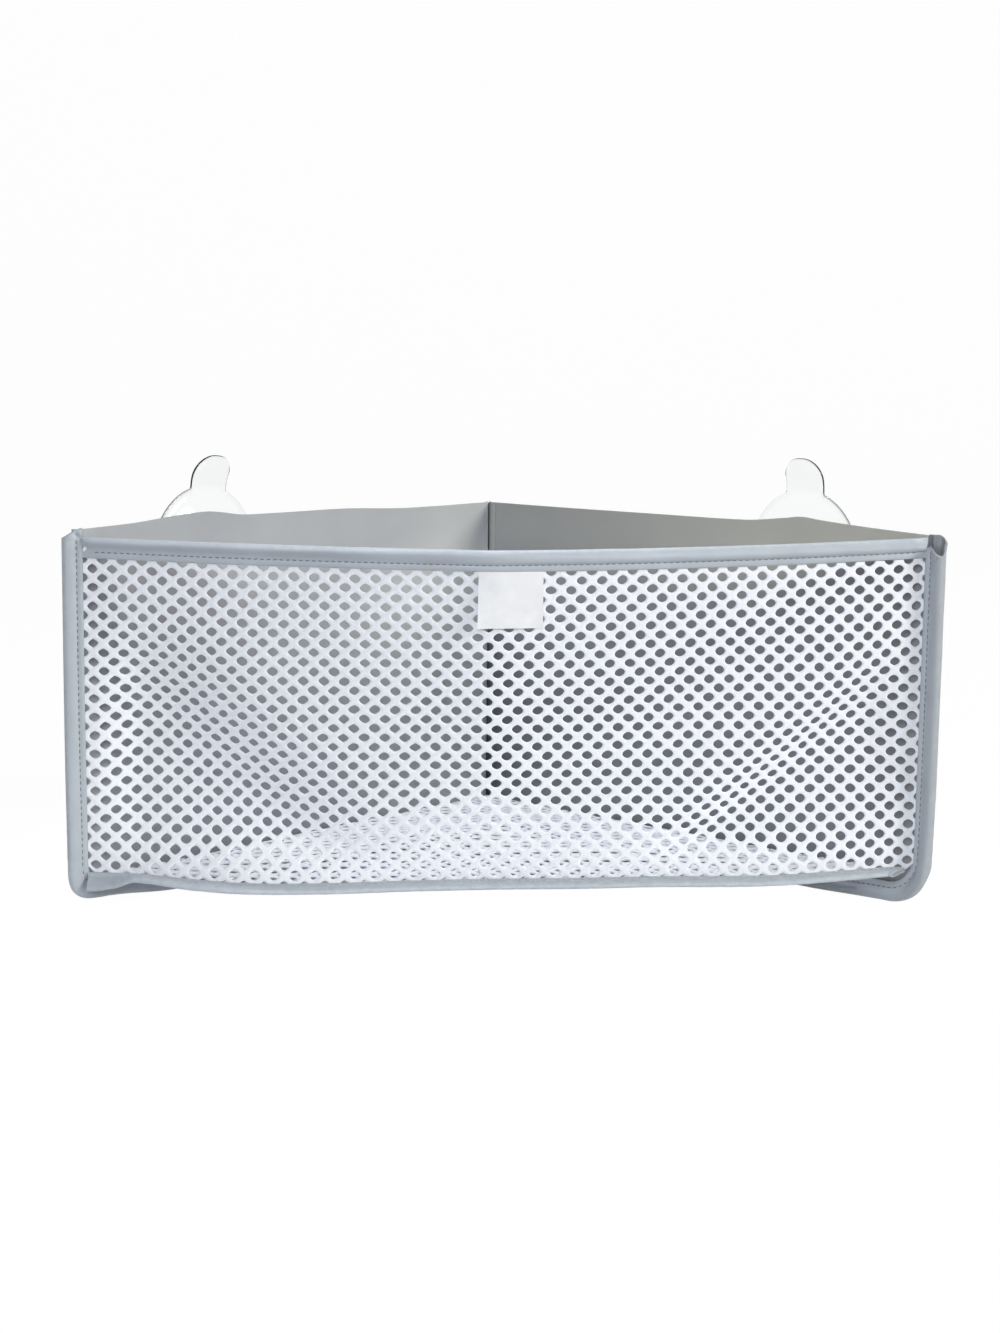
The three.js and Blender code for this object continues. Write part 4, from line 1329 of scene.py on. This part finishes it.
def tab_reach(turns):
    """Distance of the cup's outline from its axis, by the turn away from the tab."""
    cup = settings("cup")
    half, tip, corner = cup.tab_width / 2, cup.tab_tip, cup.tab_corner
    bend = np.linspace(0, math.pi / 2, 24)
    side_x = np.concatenate([
        np.full(12, half), half - corner + corner * np.cos(bend), np.linspace(half - corner, 0, 6)
    ])
    side_y = np.concatenate([
        np.linspace(cup.radius * 0.8, tip - corner, 12), tip - corner + corner * np.sin(bend), np.full(6, tip)
    ])
    turn = np.arctan2(side_x, side_y)
    order = np.argsort(turn)
    reach = np.interp(np.abs(turns), turn[order], np.hypot(side_x, side_y)[order], right=0.0)
    fillet = 0.0012  # size of the rounding between the rim and the tab
    high = np.maximum(reach, cup.radius)
    near = np.clip(fillet - np.abs(reach - cup.radius), 0, None)
    return high + near ** 2 / (4 * fillet)


def cup_profiles(lip, shoulder):
    """Radii and heights of a cup's turned surfaces: from its head to its shoulder, and from its lip inward."""
    cup = settings("cup")
    head, neck, hub, plane = cup.head, cup.neck, cup.hub, cup.standoff
    rim_back = plane - cup.rim
    face = 0.0008  # from the middle of the wall sheet to the head and to the hub
    head_end = -face - 0.0024
    soft = 0.0005  # size of the rounded edges
    outside = np.concatenate([
        [(0.0, head_end - 0.0003), (head * 0.45, head_end - 0.0002)],
        bezier((head - 0.001, head_end), (head, head_end), (head, head_end + 0.001), 6),
        bezier((head, -face - soft), (head, -face), (head - soft, -face), 4),
        bezier((neck + soft, -face), (neck, -face), (neck, -face + soft), 4),
        bezier((neck, face - soft), (neck, face), (neck + soft, face), 4),
        bezier((hub - soft, face), (hub, face), (hub, face + soft), 4),
        [(hub, face + 0.002)],
        bezier((hub, face + 0.0034), ((hub + cup.radius) / 2.2, rim_back - 0.0012), (shoulder, rim_back), 18),
    ])
    hollow = bezier((lip, plane), (lip / 2, plane - cup.hollow), (0.0, plane - cup.hollow), 16)
    return outside, hollow


def make_cup(name):
    """A suction cup in one with its pull tab, turned round its swivel's axis and drawn out at the tab."""
    cup = settings("cup")
    swivel, flex = JOINTS[f"{name}_cup_swivel"], JOINTS[f"{name}_tab_flex"]
    centre, axis = np.array(swivel["pos_m"]), unit(np.array(swivel["axis"]))
    hinge = np.array(flex["pos_m"])
    toward = hinge - centre
    toward = unit(toward - axis * (toward @ axis))
    sideways = np.cross(axis, toward)

    plane, rim_back = cup.standoff, cup.standoff - cup.rim
    lip = cup.radius - 0.003
    shoulder = cup.radius - 0.0025
    outside, hollow = cup_profiles(lip, shoulder)
    fine, coarse = math.radians(24), math.radians(3)  # reach of the close steps round the tab, and the wide step
    near = np.linspace(-fine, fine, 81)
    far = np.linspace(fine, 2 * math.pi - fine, int((2 * math.pi - 2 * fine) / coarse))[1:-1]
    turns = np.concatenate([near, far])
    reach = tab_reach(np.where(turns > math.pi, turns - 2 * math.pi, turns))
    bead = 0.00055  # half the width of the rounded rim

    def turned(profile):
        return [(np.full_like(turns, r), np.full_like(turns, h)) for r, h in profile]

    rows = turned(outside)
    edge_start = len(rows) + 4
    for part in (0.25, 0.5, 0.75, 1.0):
        rows.append((shoulder + (reach - 2 * bead - shoulder) * part, np.full_like(turns, rim_back)))
    for step in np.linspace(0, math.pi, 7):
        rows.append((
            reach - bead + bead * math.sin(step),
            np.full_like(turns, (plane + rim_back) / 2 - math.cos(step) * cup.rim / 2),
        ))
    for part in (1.0, 0.75, 0.5, 0.25):
        rows.append((lip + (reach - 2 * bead - lip) * part, np.full_like(turns, plane)))
    rows.extend(turned(hollow))
    rows = rows[1:-1]
    rings = len(turns)
    swing = -math.copysign(cup.tab_swing, sideways[1])
    tab_way = math.cos(swing) * toward + math.sin(swing) * sideways
    tab_side = np.cross(axis, tab_way)
    lean = max(cup.left_lean if name == "left" else cup.right_lean, 0.001)

    def bent(radius, height):
        """Points of the cup, with the tab bent toward the bag from the rim outward."""
        out = radius * np.cos(turns)
        past = np.clip(out - cup.radius, 0, None)
        curve = 0.006  # length over which the tab bends
        turn = lean * np.minimum(past, curve) / curve
        straight = np.clip(past - curve, 0, None)
        along = curve / lean * np.sin(turn) + straight * math.cos(lean)
        down = curve / lean * (1 - np.cos(turn)) + straight * math.sin(lean)
        lift = height - plane
        out = np.minimum(out, cup.radius) + along + lift * np.sin(turn)
        height = plane + lift * np.cos(turn) - down
        return (
            centre + out[:, None] * tab_way + (radius * np.sin(turns))[:, None] * tab_side + height[:, None] * axis
        )

    ring_points = np.stack([bent(radius, height) for radius, height in rows])
    poles = [centre + axis * height for height in (outside[0][1], hollow[-1][1])]
    points = np.concatenate([ring_points.reshape(-1, 3), poles])
    index = np.arange(len(rows) * rings).reshape(len(rows), rings)
    after = np.roll(index, -1, axis=1)
    quads = np.stack([index[:-1], after[:-1], after[1:], index[1:]], axis=-1).reshape(-1, 4)
    first, last = len(points) - 2, len(points) - 1
    fans = np.concatenate([
        np.stack([np.full(rings, first), after[0], index[0]], axis=-1),
        np.stack([np.full(rings, last), index[-1], after[-1]], axis=-1),
    ])
    # Painted shade along the rim's edge, strongest on the side away from the bag's middle and weaker along the tab
    edge = np.zeros((len(rows), rings))
    outward = np.sign(centre[0]) * (np.cos(turns) * toward[0] + np.sin(turns) * sideways[0])
    outer_edge_shade = 0.15 + 0.85 * smooth(outward, -0.25, 0.2)
    outer_edge_shade = outer_edge_shade * (1 - 0.4 * smooth(reach, cup.radius, cup.radius * 1.04))
    edge[edge_start - 1:edge_start + 6] = np.array([0.5, 0.9, 1, 1, 1, 0.9, 0.5])[:, None] * outer_edge_shade
    edge = np.concatenate([edge.reshape(-1), [0.0, 0.0]])
    piece = new_piece(f"{name}_clear_cup", points, [quads, fans], shared_finish("clear"), {"edge": edge})
    sharpen(piece, 50)
    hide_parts(f"{name}_suction_cup", f"{name}_pull_tab")
    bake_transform(piece)


# Stage

class ORGANIZER_OT_stage(Operator):
    """Sets the floor, the backdrop, the soft lamps and the camera"""
    bl_idname = "organizer.stage"
    bl_label = "Stage"

    def execute(self, context):
        scene = context.scene
        stage = settings("stage")
        scene.view_settings.view_transform = "Standard"
        self.make_floor()
        self.make_sky(scene, stage)
        self.make_lamp("key_lamp", (2.1, -1.0, 0.95), 0.8, stage.key, (1.0, 0.975, 0.89))
        self.make_lamp("fill_lamp", (-0.3, -2.3, 1.0), 0.9, stage.fill, (0.91, 0.94, 1.0))
        self.make_spot("top_lamp", (0.0, 0.03, 2.4), (0.0, -0.01, 0.1), 11.0, stage.top, (0.9, 0.94, 1.0))
        self.make_camera(scene, stage)
        return {"FINISHED"}

    def make_floor(self):
        reach, front, back, rise, bend = 5.0, -3.5, 3.0, 6.0, 1.2
        turn = np.linspace(0, math.pi / 2, 13)
        y = np.concatenate([[front], back - bend + bend * np.sin(turn), [back]])
        z = np.concatenate([[0.0], bend - bend * np.cos(turn), [rise]])
        points = np.concatenate([np.stack([np.full_like(y, x), y, z], axis=-1) for x in (-reach, reach)])
        count = len(y)
        low = np.arange(count - 1)
        quads = np.stack([low, low + count, low + count + 1, low + 1], axis=-1)
        floor = new_piece("floor", points, [quads], self.floor_finish())
        level = 0.0003  # of a dark patch over the floor, a painted shadow under the bag
        ground = [(-0.135, -0.035, level), (0.135, -0.035, level), (0.0, 0.1, level)]
        plain = bpy.data.materials.new("painted_shadow_ground")
        plain.use_nodes = True
        shader = plain.node_tree.nodes["Principled BSDF"]
        set_shader(shader, Base_Color=(0.25, 0.25, 0.26, 1.0), Roughness=1.0)
        new_piece("painted_shadow_ground", ground, [[[0, 1, 2]]], plain)

    def floor_finish(self):
        material = bpy.data.materials.new("floor")
        material.use_nodes = True
        nodes, links = material.node_tree.nodes, material.node_tree.links
        nodes.clear()
        output = nodes.new("ShaderNodeOutputMaterial")
        plain = nodes.new("ShaderNodeBsdfDiffuse")
        plain.inputs["Color"].default_value = shaded(settings("finishes").floor, 1.0)
        white = nodes.new("ShaderNodeEmission")
        white.inputs["Strength"].default_value = 1.07
        blend = nodes.new("ShaderNodeMixShader")
        amount = nodes.new("ShaderNodeMath")
        amount.operation = "MULTIPLY"
        amount.inputs[1].default_value = settings("stage").white
        links.new(self.seen(nodes, links), amount.inputs[0])
        links.new(amount.outputs["Value"], blend.inputs["Fac"])
        links.new(plain.outputs["BSDF"], blend.inputs[1])
        links.new(white.outputs["Emission"], blend.inputs[2])
        links.new(blend.outputs["Shader"], output.inputs["Surface"])
        return material

    def seen(self, nodes, links):
        """1 for the camera's rays and for what gloss and clear plastic show, else 0."""
        path = nodes.new("ShaderNodeLightPath")
        total = path.outputs["Is Camera Ray"]
        for name in ("Is Glossy Ray", "Is Transmission Ray"):
            most = nodes.new("ShaderNodeMath")
            most.operation = "MAXIMUM"
            links.new(total, most.inputs[0])
            links.new(path.outputs[name], most.inputs[1])
            total = most.outputs["Value"]
        return total

    def make_sky(self, scene, stage):
        world = bpy.data.worlds.new("sky")
        scene.world = world
        world.use_nodes = True
        nodes, links = world.node_tree.nodes, world.node_tree.links
        nodes.clear()
        output = nodes.new("ShaderNodeOutputWorld")
        light, white = nodes.new("ShaderNodeBackground"), nodes.new("ShaderNodeBackground")
        light.inputs["Color"].default_value = (0.86, 0.92, 1.0, 1.0)
        light.inputs["Strength"].default_value = stage.sky
        white.inputs["Strength"].default_value = 1.0
        blend = nodes.new("ShaderNodeMixShader")
        links.new(self.seen(nodes, links), blend.inputs["Fac"])
        links.new(light.outputs["Background"], blend.inputs[1])
        links.new(white.outputs["Background"], blend.inputs[2])
        links.new(blend.outputs["Shader"], output.inputs["Surface"])

    def make_lamp(self, name, place, size, energy, tint):
        lamp = bpy.data.lights.new(name, "AREA")
        lamp.shape = "DISK"
        lamp.size = size
        self.hang_lamp(lamp, place, LAMP_AIM, energy, tint)

    def make_spot(self, name, place, aim, cone, energy, tint):
        lamp = bpy.data.lights.new(name, "SPOT")
        lamp.spot_size = math.radians(cone)
        lamp.spot_blend = 0.5
        lamp.shadow_soft_size = 0.12
        self.hang_lamp(lamp, place, aim, energy, tint)

    def hang_lamp(self, lamp, place, aim, energy, tint):
        lamp.energy = energy
        lamp.color = tint
        piece = bpy.data.objects.new(lamp.name, lamp)
        piece.location = place
        way = Vector(aim) - Vector(place)
        piece.rotation_euler = way.to_track_quat("-Z", "Y").to_euler()
        bpy.context.scene.collection.objects.link(piece)

    def make_camera(self, scene, stage):
        data = bpy.data.cameras.new("camera")
        data.sensor_width = 36.0
        data.sensor_fit = "AUTO"
        data.lens = stage.focal / stage.picture_height * data.sensor_width
        data.clip_end = 50.0
        camera = bpy.data.objects.new("camera", data)
        yaw, pitch, roll = stage.yaw, stage.pitch, stage.roll
        right = Vector((math.cos(yaw), math.sin(yaw), 0.0))
        level = Vector((-math.sin(yaw), math.cos(yaw), 0.0))
        upright = Vector((0.0, 0.0, 1.0))
        ahead = level * math.cos(pitch) - upright * math.sin(pitch)
        above = level * math.sin(pitch) + upright * math.cos(pitch)
        right, above = (
            right * math.cos(roll) + above * math.sin(roll),
            above * math.cos(roll) - right * math.sin(roll),
        )
        turn = Matrix((right, above, -ahead)).transposed().to_4x4()
        camera.matrix_world = Matrix.Translation(Vector(stage.camera)) @ turn
        scene.collection.objects.link(camera)
        scene.camera = camera


class ORGANIZER_PT_sidebar(Panel):
    """Lists the organizer's makers"""
    bl_label = "Organizer"
    bl_idname = "ORGANIZER_PT_sidebar"
    bl_space_type = "VIEW_3D"
    bl_region_type = "UI"
    bl_category = "Organizer"

    def draw(self, context):
        for operator in OPERATORS:
            self.layout.operator(operator.bl_idname)
        for name, group in GROUPS.items():
            box = self.layout.box()
            box.label(text=group.bl_rna.description)
            values = settings(name)
            for key in group.__annotations__:
                box.prop(values, key)


GROUPS = {
    "bag": BagSizes,
    "net": NetSizes,
    "tape": TapeSizes,
    "label": LabelSizes,
    "cup": CupSizes,
    "finishes": Finishes,
    "stage": StageSettings,
}
OPERATORS = (
    ORGANIZER_OT_stage,
    ORGANIZER_OT_walls,
    ORGANIZER_OT_floor_net,
    ORGANIZER_OT_front_net,
    ORGANIZER_OT_front_tapes,
    ORGANIZER_OT_wall_tapes,
    ORGANIZER_OT_label,
    ORGANIZER_OT_cups,
)


def register():
    for group in GROUPS.values():
        bpy.utils.register_class(group)
    for name, group in GROUPS.items():
        setattr(bpy.types.Scene, "organizer_" + name, PointerProperty(type=group))
    for operator in OPERATORS:
        bpy.utils.register_class(operator)
    bpy.utils.register_class(ORGANIZER_PT_sidebar)


def unregister():
    bpy.utils.unregister_class(ORGANIZER_PT_sidebar)
    for operator in reversed(OPERATORS):
        bpy.utils.unregister_class(operator)
    for name in GROUPS:
        delattr(bpy.types.Scene, "organizer_" + name)
    for group in reversed(list(GROUPS.values())):
        bpy.utils.unregister_class(group)


def main():
    register()
    for operator in OPERATORS:
        group, name = operator.bl_idname.split(".")
        getattr(getattr(bpy.ops, group), name)()


if __name__ == "__main__":
    main()
